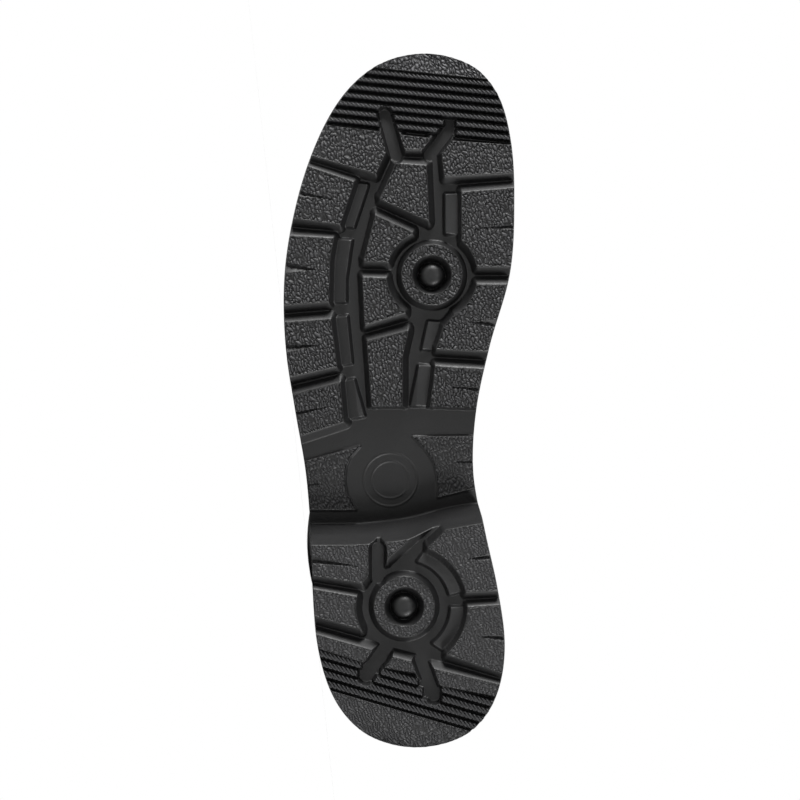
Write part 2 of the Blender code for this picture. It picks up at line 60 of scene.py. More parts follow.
# Sole, the same values as the solids have.
SOLE_LENGTH = 302.0
LIP_HEIGHT = 7.0
LIP_INSET = 4.1
FEATHER_INSET = 4.7
FEATHER_LIFT = 0.7
TREAD_INSET = 0.5
TOE_SPRING = 12.0
SPRING_FROM = 228.0
BREAST_SLOPE = 0.5
SWELL = 1.2
SWELL_HEIGHT = 10.0
COLLAR_HEIGHT = 288.0
INSOLE_INSET = 8.9
INSOLE_LIFT = 0.4

# How far the sprung toe reaches past the solids, so that it meets the outline in the photograph.
TOE_REACH = 1.9

# The floor that the boot lies on is the plane y = a + b x + c z of the boot's frame.
FLOOR_SLOPES = (-0.10710292, -0.03347447)
LYING_PLACE = (0.14922199, -0.14391975, 0.03159507)

# Rings of the tread: a domed stud in a hole, inside a grained ring, inside a round channel.
FOREFOOT_RING = (205.5, 13.0)
HEEL_RING = (61.5, 1.0)
STUD_RADIUS = 5.8
HOLE_RADIUS = 8.8
PIT = 1.5
RING_RADIUS = 13.0
CHANNEL_RADIUS = 20.0
HEEL_CHANNEL_RADIUS = 21.2
HEEL_STEP_RADII = (20.4, 27.6)

# Ribs across toe and heel: the line of rib 0 at y = 0, the pitch, the width and the slope of x along y.
RibSet = namedtuple("RibSet", "line pitch width slope spans")
RIB_END = 60.0
TOE_RIBS = RibSet(
    292.15, 3.74, 1.5, -0.1,
    [[(-RIB_END, RIB_END)]] * 5 + [[(-RIB_END, -10.0), (-4.4, 18.0), (24.0, RIB_END)]] * 2,
)
HEEL_RIBS = RibSet(
    30.8, 4.05, 2.2, -0.294,
    [
        [(-RIB_END, -18.0), (-9.0, 6.5), (17.5, RIB_END)],
        [(-RIB_END, -19.5), (-12.0, 8.5), (17.0, RIB_END)],
        [(-RIB_END, RIB_END)],
        [(-RIB_END, RIB_END)],
    ],
)

# Place along the sole, middle and half width. The next tables give a height or a place for each first number.
OUTLINE = [
    (0.0, 6.3, 0.0), (7.6, 6.3, 24.6), (20.0, 5.7, 34.6), (45.0, 4.0, 40.9), (70.0, 1.3, 40.3),
    (95.0, -2.0, 38.1), (120.0, -5.3, 36.8), (147.0, -7.0, 39.6), (173.0, -6.3, 44.2), (206.0, -2.0, 49.1),
    (238.0, 1.7, 47.4), (264.0, 5.4, 42.4), (286.0, 8.7, 32.6), (294.8, 9.8, 23.9), (302.0, 9.8, 0.0),
]
FOOT_FLOOR = [(0, 27), (55, 27), (100, 23.5), (150, 14.5), (192, 11), (240, 11), (302, 11)]
ARCH = [
    (0, 13.6), (80, 13.6), (96, 13.4), (105, 9.8), (113, 7.5), (133, 3.4), (150, 1), (165, 0), (170, 0),
    (302, 0),
]
BREAST_MIDDLE = 90.5
BREAST = [(-45, 88), (-15, 88.5), (2, 90.5), (18.5, 94.5), (35, 97.5), (45, 99)]

# Sections of the upper from toe to collar, as in the solids.
Section = namedtuple(
    "Section", "top_x top_z base_x base_z half_width front_depth back_depth square base_y top_y"
)
SECTIONS = [
    Section(297.0, 43.0, 297.3, None, None, 14.5, 6.2, 2.6, None, 9.8),
    Section(293.0, 51.5, 293.0, None, None, 22.0, 8.5, 2.6, None, 9.6),
    Section(284.0, 60.0, 284.0, None, None, 30.6, 10.8, 2.5, None, 9.0),
    Section(270.0, 66.0, 270.0, None, None, 37.8, 12.6, 2.4, None, 8.0),
    Section(250.0, 71.5, 250.0, None, None, 44.6, 14.0, 2.3, None, 6.4),
    Section(228.0, 78.0, 228.0, None, None, 50.4, 16.0, 2.2, None, 5.0),
    Section(205.0, 86.5, 205.0, None, None, 56.8, 18.0, 2.1, None, 3.4),
    Section(182.0, 98.5, 182.0, None, None, 64.7, 21.6, 2.0, None, 1.4),
    Section(165.0, 112.0, 164.0, None, None, 71.8, 26.6, 2.0, None, 0.0),
    Section(152.0, 127.0, 146.0, None, 35.4, 77.0, 34.0, 2.0, None, -1.2),
    Section(147.0, 134.5, 118.0, None, 35.0, 79.0, 42.0, 2.0, None, -1.4),
    Section(143.0, 142.0, 86.0, None, 35.6, 80.0, 52.0, 2.0, None, -1.4),
    Section(140.0, 149.0, 54.0, None, 36.8, 81.0, 64.0, 2.0, None, -1.4),
    Section(138.0, 155.0, 28.0, None, 37.7, 82.0, 75.0, 2.0, None, -1.4),
    Section(136.5, 160.5, 11.5, None, 38.2, 82.0, 82.0, 2.0, None, -1.4),
    Section(135.5, 166.0, 4.7, None, 38.5, 82.0, 86.0, 2.0, None, -1.4),
    Section(134.6, 174.0, 4.6, 48.0, 38.7, 81.0, 83.0, 2.0, 5.4, -1.4),
    Section(134.0, 184.0, 5.2, 80.0, 39.0, 79.0, 78.0, 2.0, 3.4, -1.4),
    Section(134.0, 197.0, 8.0, 118.0, 39.6, 75.0, 71.0, 2.0, 1.2, -1.4),
    Section(134.8, 214.0, 8.8, 160.0, 40.8, 70.0, 67.0, 2.0, -0.2, -1.4),
    Section(136.2, 234.0, 7.6, 202.0, 42.4, 66.4, 66.0, 2.0, -1.0, -1.4),
    Section(138.0, 254.0, 5.6, 241.0, 44.0, 66.5, 66.5, 2.0, -1.4, -1.4),
    Section(139.4, 268.0, 4.2, 266.0, 45.2, 67.6, 67.6, 2.0, -1.4, -1.4),
    Section(140.0, 275.0, 3.6, 275.0, 45.8, 68.2, 68.2, 2.0, -1.4, -1.4),
]

# Short wedge cuts from the edge into the blocks: corner of the steep side, of the gentle side, then the tip.
SIPES = [
    ((243.0, -50.0), (239.5, -50.0), (238.0, -30.0)),
    ((211.5, -53.0), (205.3, -53.0), (207.5, -37.0)),
    ((174.8, -53.0), (170.5, -53.0), (175.0, -35.0)),
    ((145.3, -49.0), (143.0, -49.0), (148.0, -33.0)),
    ((227.3, 53.0), (224.8, 53.0), (225.5, 31.0)),
    ((182.4, 46.0), (187.4, 46.0), (185.0, 28.0)),
    ((154.5, 38.0), (157.2, 38.0), (157.0, 20.5)),
    ((124.7, 35.0), (122.2, 35.0), (124.0, 23.5)),
    ((113.6, -45.0), (112.2, -45.0), (114.5, -34.4)),
]
HEEL_SIPES = [
    ((81.0, -43.0), (84.6, -43.0), (79.0, -18.5)),
    ((82.5, 43.0), (86.4, 43.0), (82.0, 28.0)),
    ((46.2, 49.0), (50.3, 49.0), (48.5, 34.0)),
]

# Smooth round-ended channels cut to the groove floor: two ends of the middle line, and the half width.
TOE_POCKETS = [((275.0, -7.4), (257.5, -2.5), 2.5), ((268.5, 20.6), (257.5, 12.0), 2.4)]
HEEL_POCKETS = [
    ((86.5, -10.5), (74.0, -10.5), 2.6),
    ((43.5, -7.0), (31.5, -15.5), 2.9),
    ((38.5, 8.2), (22.5, 14.0), 2.5),
]
SIPE_DEPTH = 2.2
SIPE_EDGE = 0.25

# Bare round field of the waist, with two fine raised rings.
WAIST_FIELD = (116.2, -5.0)
WAIST_RING_RADII = (11.8, 8.2)
WAIST_RING_HEIGHT = 0.3
WAIST_RING_HALF = 0.6

# Lean of the blocks' walls: shares for facing the inner side, along the boot, and the side of the long slopes.
LEAN_INNER = 0.12
LEAN_ALONG = 0.55
LEAN_LONG = 0.1
RIBSIDE_LEAN = 1.2
RIBSIDE_REACH = 5.0

# Walls at the waist: places behind which edges belong to them, the border of the outer block, and their leans.
WAIST_WALL_X = 152.0
WAIST_BLOCK_X = 165.0
WAIST_OUTER_Y = -20.0
WAIST_OUTER_LEAN = 1.5
WAIST_STEEPER = 0.6

# How far the other walls of the tread run out.
RIB_LEAN = 0.9
RING_LEAN = 2.4
STEP_LEAN = 1.3
PAD_LEAN = 1.0
POCKET_LEAN = 1.5
GUTTER_WIDTH = 7.5
GRAIN_MARGIN = 0.1

# Where the grain changes along the sole, as the start and the width of the change. The third zone is where the
# toe's tip is painted lighter, a painted highlight, and the fourth where the painted shadow in front of the
# breast fades out.
FORE_ZONE = (135.0, 20.0)
ARCH_ZONE = (95.0, 12.0)
TOE_TIP_HIGHLIGHT_ZONE = (282.0, 10.0)
BREAST_SHADOW_ZONE = (6.0, 18.0)

# Shade of smooth rubber and the painted highlight on the ribs' crowns, on the grain's scale from 0 in a crease
# to 1 on a pebble. Creases carry painted shade, pebbles a painted highlight.
SMOOTH = 0.08
RIB_CROWN_HIGHLIGHT = 0.65
CROWN_SHARE = 0.8

# Grid of the tread: its widest place, and where it is cut into pieces. Least climb between rows of the side.
BALL_WIDTH = 98.0
TREAD_CUTS = (107.0, 205.5)
LEAST_CLIMB = 0.01

# Level rows of the collar's rounded band: height, and step outwards.
COLLAR_ROWS = [
    (275.9, 0.05), (276.2, 0.45), (276.7, 0.95), (277.6, 1.2), (280.0, 1.3), (282.0, 1.32),
    (284.5, 1.3), (286.6, 1.2), (287.5, 0.95), (287.9, 0.6), (COLLAR_HEIGHT, 0.3),
]

# Soft folds of the ankle: section number, width in sections, share of the depth, how far down the sides.
FOLDS = [
    (7.7, 0.32, 0.5, 0.62), (8.9, 0.3, 0.9, 0.5), (10.3, 0.5, 1.0, 0.42), (12.6, 0.7, 0.8, 0.36),
    (15.3, 0.8, 0.45, 0.4),
]

# Upper: rows between two sections, points from its base to its top, and how far it is wider than its base.
UPPER_POINTS = (8, 60)
FOOT_WIDER = 1.008
LEG_WIDER = 1.004

# Insole: points along and across, its rounded rim as inset and share of the thickness, and its heel cup.
INSOLE_POINTS = (140, 31)
INSOLE_RIM = np.array([(0, 0), (0, 0.75), (0.4, 0.97), (0.8, 1.0)])
INSOLE_CUP = 1.2

# Stage: point of the tread that the camera aims at, sensor width in millimetres, floor and point that is lit.
AIM = (151.2, -0.9)
SENSOR = 36.0
FLOOR_POINTS = 25
FLOOR_HALF_DEPTH = 0.85
FLOOR_MIDDLE = 0.4
LIT_POINT = (0.0, -0.14, 0.05)


def linear(code):
    """Linear colour of an sRGB hex code: c / 12.92 for dark values, else ((c + 0.055) / 1.055) to the 2.4."""
    parts = np.array([int(code[i : i + 2], 16) / 255 for i in (1, 3, 5)])
    return tuple(np.where(parts <= 0.04045, parts / 12.92, ((parts + 0.055) / 1.055) ** 2.4).tolist())


class SoleSettings(bpy.types.PropertyGroup):
    """Sizes and colour of the moulded sole."""

    lug_height: bpy.props.FloatProperty(
        name="Lug height", description="Height of the full blocks", default=0.0047, unit="LENGTH"
    )
    step_height: bpy.props.FloatProperty(
        name="Step height", description="Height of the low strips beside the blocks",
        default=0.0027, unit="LENGTH",
    )
    pad_height: bpy.props.FloatProperty(
        name="Waist pad height", description="Height of the grained pads of the waist",
        default=0.0008, unit="LENGTH",
    )
    lean: bpy.props.FloatProperty(
        name="Wall lean", description="How far a block's wall runs out towards its foot",
        default=0.0026, unit="LENGTH",
    )
    grain_pitch: bpy.props.FloatProperty(
        name="Grain pitch", description="Spacing of the pebbles on the blocks", default=0.0017, unit="LENGTH"
    )
    grain_depth: bpy.props.FloatProperty(
        name="Grain depth", description="Depth of the creases between the pebbles",
        default=0.0009, unit="LENGTH",
    )
    bead_pitch: bpy.props.FloatProperty(
        name="Bead pitch", description="Spacing of the beads along a rib", default=0.0019, unit="LENGTH"
    )
    cell: bpy.props.FloatProperty(
        name="Mesh cell", description="Spacing of the tread's points", default=0.00034, unit="LENGTH"
    )
    colour: bpy.props.FloatVectorProperty(
        name="Rubber colour", description="Colour of the sole", default=linear("#1e1e1f"),
        subtype="COLOR", size=3,
    )


class UpperSettings(bpy.types.PropertyGroup):
    """Sizes and colours of the upper and what is inside it."""

    wall: bpy.props.FloatProperty(
        name="Wall", description="Thickness of rubber and lining together", default=0.0024, unit="LENGTH"
    )
    crease: bpy.props.FloatProperty(
        name="Crease depth", description="Depth of the folds at the ankle", default=0.0013, unit="LENGTH"
    )
    insole: bpy.props.FloatProperty(
        name="Insole", description="Thickness of the loose insole", default=0.003, unit="LENGTH"
    )
    colour: bpy.props.FloatVectorProperty(
        name="Rubber colour", description="Colour of the upper", default=linear("#222223"),
        subtype="COLOR", size=3,
    )
    lining: bpy.props.FloatVectorProperty(
        name="Lining colour", description="Colour of the knitted lining", default=linear("#4b4e52"),
        subtype="COLOR", size=3,
    )
    felt: bpy.props.FloatVectorProperty(
        name="Felt colour", description="Colour of the insole", default=linear("#6f6e6b"),
        subtype="COLOR", size=3,
    )


class StageSettings(bpy.types.PropertyGroup):
    """Camera, lights and floor."""

    distance: bpy.props.FloatProperty(
        name="Camera distance", description="From the camera to the tread", default=0.95, unit="LENGTH"
    )
    view: bpy.props.FloatProperty(
        name="View width", description="Width of the picture at the tread", default=0.3468, unit="LENGTH"
    )
    drop: bpy.props.FloatProperty(
        name="Camera drop", description="How far the camera stands below the square view of the tread",
        default=0.01525, unit="LENGTH",
    )
    toe_watts: bpy.props.FloatProperty(
        name="Toe light", description="Watts of the softbox past the toe", default=57.0, unit="POWER"
    )
    heel_watts: bpy.props.FloatProperty(
        name="Heel light", description="Watts of the softbox past the heel", default=32.0, unit="POWER"
    )
    front_watts: bpy.props.FloatProperty(
        name="Front light", description="Watts of the softbox behind the camera", default=11.0, unit="POWER"
    )
    wash: bpy.props.FloatProperty(
        name="Top wash", description="Watts of the light over the floor", default=15.0, unit="POWER"
    )
    ambient: bpy.props.FloatProperty(name="Ambient", description="Strength of the room's light", default=0.05)
    floor: bpy.props.FloatVectorProperty(
        name="Floor colour", description="Colour of the floor", default=linear("#f2f2f1"),
        subtype="COLOR", size=3,
    )


def curve(rows, at):
    """Cubic Hermite curve through two-column rows, with slopes by central differences, read at places."""
    knots, values = (np.array(column, float) for column in zip(*rows))
    slopes = np.gradient(values, knots)
    at = np.clip(np.asarray(at, float), knots[0], knots[-1])
    i = np.clip(np.searchsorted(knots, at) - 1, 0, len(knots) - 2)
    step = knots[i + 1] - knots[i]
    t = (at - knots[i]) / step
    rise = values[i] * (1 + 2 * t) * (1 - t) ** 2 + values[i + 1] * t * t * (3 - 2 * t)
    return rise + step * (slopes[i] * t * (1 - t) ** 2 + slopes[i + 1] * t * t * (t - 1))


def turn(x):
    """Place along the sole as an angle: x = L (1 - cos a) / 2."""
    return np.arccos(np.clip(1 - 2 * np.asarray(x, float) / SOLE_LENGTH, -1, 1))


def sole_loop(inset, count):
    """Outline centre(x) -+ half(x), moved in along its normal: heel, outer side, toe, inner side."""
    x = SOLE_LENGTH * (1 - np.cos(np.linspace(0, math.pi, count))) / 2
    centre = curve([(turn(row[0]), row[1]) for row in OUTLINE], turn(x))
    half = curve([(turn(row[0]), row[2]) for row in OUTLINE], turn(x))
    loop = np.vstack([np.column_stack([x, centre - half]), np.column_stack([x, centre + half])[-2:0:-1]])
    return loop - inset * outward(loop)


def outward(loop):
    """Unit normals of a closed flat loop that runs up the outer side: the tangent turned by a right angle."""
    along = np.roll(loop, -1, axis=0) - np.roll(loop, 1, axis=0)
    along /= np.linalg.norm(along, axis=1)[:, None]
    return np.column_stack([along[:, 1], -along[:, 0]])


def sole_sides(inset, count=900):
    """Outer and inner side of the inset outline, both from heel to toe."""
    loop = sole_loop(inset, count)
    half = len(loop) // 2
    return loop[: half + 1], np.vstack([loop[half:], loop[:1]])[::-1]


def edges_at(x, inset):
    """Outer and inner edge of the inset outline at places along the sole, read along straight pieces."""
    outer, inner = sole_sides(inset)
    return np.interp(x, outer[:, 0], outer[:, 1]), np.interp(x, inner[:, 0], inner[:, 1])


def foot_floor(x):
    """Height of the surface that carries the foot, before the toe spring."""
    return curve(FOOT_FLOOR, x)


def toe_spring(x):
    """Lift of the toe: a parabola from the ball forwards."""
    past = np.clip(np.asarray(x, float) - SPRING_FROM, 0, None)
    return TOE_SPRING * (past / (SOLE_LENGTH - SPRING_FROM)) ** 2


def breast_line(y):
    """Front edge of the heel at the ground, x as a function of y."""
    return curve(BREAST, y)


def arch_lift(x, y):
    """Lift of the underside, read as if the breast line ran straight across."""
    return curve(ARCH, x - breast_line(y) + BREAST_MIDDLE)


def smooth_step(t):
    """3 t^2 - 2 t^3 between 0 and 1."""
    t = np.clip(t, 0, 1)
    return t * t * (3 - 2 * t)


def zone(x, place):
    """Smooth step from 0 at a place's start to 1 a width further on."""
    start, width = place
    return smooth_step((x - start) / width)


def soft_least(a, b, width):
    """Lesser of two fields, rounded where they cross: mix by h minus width h (1 - h)."""
    h = np.clip(0.5 + 0.5 * (b - a) / width, 0, 1)
    return b + (a - b) * h - width * h * (1 - h)


def lying_turn():
    """Rotation that lays the boot down: rows are the floor's across, along and up in the boot's frame."""
    up = np.array([-FLOOR_SLOPES[0], 1.0, -FLOOR_SLOPES[1]])
    up /= np.linalg.norm(up)
    across = np.array([-1.0, 0.0, 0.0])
    across -= across.dot(up) * up
    across /= np.linalg.norm(across)
    return np.vstack([across, np.cross(up, across), up])


def to_row(points):
    """Boot millimetres to the row's metres: the toe reaches on by a parabola, then the turn and the place."""
    points = np.array(points, float)
    past = np.clip(points[..., 0] - SPRING_FROM, 0, None) / (SOLE_LENGTH - SPRING_FROM)
    points[..., 0] += TOE_REACH * past**2
    return points @ lying_turn().T * MM + np.array(LYING_PLACE)


def arc(middle, radius, start, end, count=17):
    """Points of an arc, its angles in degrees from the toe direction towards the inner side."""
    angle = np.radians(np.linspace(start, end, count))
    return list(zip(middle[0] + radius * np.cos(angle), middle[1] + radius * np.sin(angle)))


def wall_lean(away, faces, middle, base, sense, ribs):
    """How far a wall runs out in the direction (a_x, a_y) away from its edge.

    It is base (1 + inner a_y + along a_x^2 + long s a_x), with s 1 for the forepart, whose long slopes face
    the toe, and -1 for the heel. Walls beside ribs are steep. Of the forepart's last walls, which face the heel,
    the outer one runs out into the waist, and the others, base (1 + inner a_y - steeper a_x^2), drop to it.
    """
    line = ribs.line + ribs.slope * middle[1]
    last = line - (len(ribs.spans) - 1) * ribs.pitch
    if last - RIBSIDE_REACH < middle[0] < line + RIBSIDE_REACH:
        return RIBSIDE_LEAN
    outer = middle[1] < WAIST_OUTER_Y
    if sense > 0 and faces < -0.7 and middle[0] < WAIST_WALL_X and outer:
        return WAIST_OUTER_LEAN * base
    lean = base * (1 + LEAN_INNER * away[1] + LEAN_ALONG * away[0] ** 2 + LEAN_LONG * sense * away[0])
    if sense > 0 and middle[0] < WAIST_BLOCK_X and not outer:
        steep = base * (1 + LEAN_INNER * away[1] - WAIST_STEEPER * away[0] ** 2)
        lean = np.where(away[0] < 0, steep, lean)
    return lean


def outline_distance(x, y, outline, lean=None, reach=7.0):
    """Signed distance to a closed outline, and the same outside it as a share of the wall's lean.

    Distance: least to the edges, minus inside by the crossing rule. Lean: given by a function of the direction
    away from an edge, how far the edge faces the toe, and its middle. Points further than reach from the
    outline's box keep the value reach.
    """
    corners = np.array(outline, float)
    after = np.roll(corners, -1, axis=0)
    sense = np.sign(np.sum(corners[:, 0] * after[:, 1] - corners[:, 1] * after[:, 0]))
    low, high = corners.min(axis=0) - reach, corners.max(axis=0) + reach
    near = (x > low[0]) & (x < high[0]) & (y > low[1]) & (y < high[1])
    px, py = x[near], y[near]
    least = np.full(px.shape, np.inf)
    share = np.full(px.shape, np.inf)
    inside = np.zeros(px.shape, bool)
    for (ax, ay), (bx, by) in zip(corners, after):
        ex, ey = bx - ax, by - ay
        size = math.hypot(ex, ey)
        t = np.clip(((px - ax) * ex + (py - ay) * ey) / size**2, 0, 1)
        away = np.stack([px - ax - t * ex, py - ay - t * ey])
        far = np.hypot(*away)
        least = np.minimum(least, far)
        if lean:
            middle = ((ax + bx) / 2, (ay + by) / 2)
            share = np.minimum(share, far / lean(away / np.maximum(far, 1e-6), sense * ey / size, middle))
        if ey:
            inside ^= ((ay > py) != (by > py)) & (px < ax + (py - ay) * ex / ey)
    found = np.full(x.shape, reach)
    found[near] = np.where(inside, -least, least)
    outside = np.full(x.shape, reach)
    outside[near] = np.where(inside, 0, share)
    return found, outside


def segment_distance(x, y, start, end):
    """Distance to a straight piece of line, with the place along it clipped to its ends."""
    ex, ey = end[0] - start[0], end[1] - start[1]
    t = np.clip(((x - start[0]) * ex + (y - start[1]) * ey) / (ex * ex + ey * ey), 0, 1)
    return np.hypot(x - start[0] - t * ex, y - start[1] - t * ey)


def wall(distance, lean):
    """Share of a block's height outside its top edge: 1 at the edge, 0 a lean away, rounded at the edge.

    With s = distance / lean and u = 1.2 s^2 / (s + 0.2) it is (1 - u) to the 1.05.
    """
    s = np.clip(distance / lean, 0, 1)
    return np.clip(1 - 1.2 * s * s / (s + 0.2), 0, 1) ** 1.05


def hashed(i, j, salt):
    """Fixed pseudo-random number for a cell: the fraction of a large sine."""
    value = np.sin(i * 127.1 + j * 311.7 + salt * 74.7) * 43758.5453
    return value - np.floor(value)


def pebbles(x, y, pitch):
    """Pebbled grain from 0 in the creases to 1: distance to the second nearest cell point less the nearest.

    The cells lie on u = (y - x) / 1.8 pitch and v = (y + x) / 1.1 pitch, bent by sines, so the pebbles are long
    from the toe's outer side to the heel's inner side.
    """
    u, v = (y - x) / (1.8 * pitch), (y + x) / (1.1 * pitch)
    u, v = u + 0.3 * np.sin(1.7 * v + 0.9 * u), v + 0.3 * np.sin(1.9 * u - 0.6 * v)
    i, j = np.floor(u), np.floor(v)
    first = np.full(u.shape, 9.0)
    second = np.full(u.shape, 9.0)
    for a in (-1, 0, 1):
        for b in (-1, 0, 1):
            du = i + a + hashed(i + a, j + b, 1.0) - u
            dv = j + b + hashed(i + a, j + b, 2.0) - v
            far = np.hypot(du, dv)
            second = np.minimum(second, np.maximum(first, far))
            first = np.minimum(first, far)
    return smooth_step((second - first) / 0.5) * (1 - 0.7 * np.clip(first, 0, 1) ** 2)


def forefoot_blocks():
    """Outlines of the full-height grained blocks from toe to waist, past the edge where they reach it."""
    ring = FOREFOOT_RING
    return [
        [(298.6, -44), (288.6, 56), (312, 56), (312, -44)],
        [(271.5, -46), (267.5, -11), (266.5, -9), (260, -6.5), (249.5, -11.5), (259.6, -48)],
        [(255.8, -52), (245.5, -21), (227.5, -27), (231, -54)],
        [(222.5, -57), (221, -30), (212, -31.5), (194, -32), (192, -57)],
        [(184, -57), (186, -31), (166, -28.5), (159.8, -56)],
        [(151.3, -55), (158.5, -27), (142, -25.5), (133, -53)],
        [(266, -1), (264.5, 12.5), (260, 10), (260, 1.5)],
        [(253.5, -2.5), (252.5, 10.5), (229, 11.5), (238.5, -9.5)],
        [(231, -11.5)] + arc(ring, CHANNEL_RADIUS, -25, -73) + [(211.5, -16.5)],
        [(204, -17)] + arc(ring, CHANNEL_RADIUS, -95, -144) + [(184, -16)],
        [(176.5, -15), (181, 2.5), (170, 0), (148.5, 0), (148.5, -13)],
        [(263.5, 20.5), (261, 57), (250.7, 57), (248.5, 18.5), (259, 17.5)],
        [(241, 26), (243.7, 57), (209.3, 57)] + arc(ring, CHANNEL_RADIUS, 79, 41),
        [(201, 57)] + arc(ring, CHANNEL_RADIUS, 103, 151) + [(182.5, 18), (173.5, 15), (171.7, 50)],
        [(165.5, 14.5), (163.5, 48), (147, 46), (148.5, 12.5)],
    ]


def forefoot_steps():
    """Low smooth strips along the inner edges of the side blocks."""
    return [
        [(246, -23), (244.5, -15), (226.5, -21), (227.8, -29)],
        [(220.9, -32), (220.5, -22), (203.5, -24.5), (194.1, -24.5), (194.1, -34)],
        [(186, -33), (187.5, -24), (167.5, -22), (165.8, -30.5)],
        [(158, -29), (160, -21), (150, -18), (144.5, -16.5), (142.2, -27.5)],
        [(240.5, 19), (240.8, 28), (223.5, 28), (224, 19)],
        [(185, 11.5), (184.5, 19.5), (173.7, 17), (173.5, 9)],
        [(166, 7.5), (165.3, 16.5), (148.7, 14.5), (149, 4)],
    ]


def waist_pads():
    """Low grained pads on the arch, either side of the round bare field."""
    return [
        [(122.8, -48), (131, -18.5), (126.5, -22.5), (121.5, -24.5), (115.5, -25), (110, -24), (103, -20),
         (103, -48)],
        [(135, 5), (135.6, 42), (115.2, 42), (108.5, 16), (118, 15.5), (124, 14), (130, 10)],
    ]


def heel_blocks():
    """Outlines of the full-height grained blocks of the heel, past its edge where they reach it."""
    ring = HEEL_RING
    step = HEEL_STEP_RADII[1]
    return [
        [(104, -48), (104, -13.9), (77, -13.5), (72, -17.5), (76.7, -48)],
        [(82, -7), (104, -7.2), (104, 17.5)],
        [(70.6, -48)] + arc(ring, HEEL_CHANNEL_RADIUS, -79, -117) + [(60.3, -48)],
        [(52.3, -48), (42, -11.5), (37.5, -17), (47.3, -48)],
        [(39.5, -4), (37, 5.5), (32.7, 6.5), (35.2, -7.5)],
        [(110, 34.5)] + arc(ring, step, 22, 76) + [(69, 52), (110, 52)],
        [(62.6, 52)] + arc(ring, step, 91, 138) + [(29.8, 52)],
        [(34.5, 13), (25, 52), (20.5, 52), (27.9, 14)],
        [(31.2, -52), (0.6, 52), (-8, 52), (-8, -52)],
    ]


def heel_steps():
    """Low curved strips between the heel's inner blocks and its ring."""
    low, high = HEEL_STEP_RADII
    return [
        arc(HEEL_RING, low, 17, 75) + arc(HEEL_RING, high + 1.2, 75, 23),
        arc(HEEL_RING, low, 92, 142) + arc(HEEL_RING, high + 1.2, 137, 92),
    ]


def rib_rise(x, y, ribs, height, bead):
    """Height of ribs like rope: a crowned bar, height - 0.3 (a / half)^2, notched between its beads.

    a is the place across the rib. The notches are n^2 (0.7 + 0.6 S((a + 0.3) / 0.8)), with n a raised cosine
    along y + a and S the smooth step, so they slant and are deeper on the toe side.
    """
    rise = np.zeros(x.shape)
    half = ribs.width / 2
    for number, spans in enumerate(ribs.spans):
        across = (x - ribs.line + number * ribs.pitch - ribs.slope * y) / math.hypot(1, ribs.slope)
        notch = 0.5 - 0.5 * np.cos(2 * math.pi * (y + across) / bead)
        crown = height - 0.3 * np.clip(across / half, -1, 1) ** 2
        crown = crown - notch**2 * (0.7 + 0.6 * smooth_step((across + 0.3) / 0.8))
        for start, end in spans:
            past = np.maximum(start - y, y - end)
            rise = np.maximum(rise, crown * wall(np.maximum(np.abs(across) - half, past), RIB_LEAN))
    return rise


def ring_rise(x, y, middle, height):
    """Rise of a grained ring round a hole with a domed stud, the distance to the ring's top, and the radius.

    Outside, the ring's wall runs out over its lean. Inside, a like wall falls to the pit at the stud's foot.
    The stud is a dome: 0.94 of the height times the root of 1 - (r / R)^3.
    """
    far = np.hypot(x - middle[0], y - middle[1])
    band = np.maximum(far - RING_RADIUS, HOLE_RADIUS - far)
    outside = height * wall(far - RING_RADIUS, RING_LEAN)
    pit = (height + PIT) * wall(HOLE_RADIUS - far, HOLE_RADIUS - STUD_RADIUS) - PIT
    dome = (0.94 * height + PIT) * np.sqrt(np.clip(1 - (far / STUD_RADIUS) ** 3, 0, 1)) - PIT
    return np.where(far > HOLE_RADIUS, outside, np.maximum(pit, dome)), band, far


def cut_sipes(rise, top, x, y, sipes):
    """Wedge cuts: full depth along the steep side, falling to nothing at the gentle side."""
    for steep, gentle, tip in sipes:
        distance, _ = outline_distance(x, y, (steep, gentle, tip), reach=1.0)
        near = segment_distance(x, y, steep, tip)
        far = segment_distance(x, y, gentle, tip)
        share = far / np.maximum(near + far, 1e-6)
        inside = smooth_step((SIPE_EDGE - distance) / (2 * SIPE_EDGE))
        rise = rise - np.where(top, SIPE_DEPTH * share * inside, 0)
        top = top & (distance > -GRAIN_MARGIN)
    return rise, top


def cut_pockets(rise, top, x, y, pockets, height):
    """Round-ended channels: nothing stands within their half width, and walls lean back from there."""
    for start, end, half in pockets:
        distance = segment_distance(x, y, start, end) - half
        limit = height * (1 - wall(distance, POCKET_LEAN))
        rise = np.where(distance < POCKET_LEAN, np.minimum(rise, limit), rise)
        top = top & (distance > POCKET_LEAN)
    return rise, top


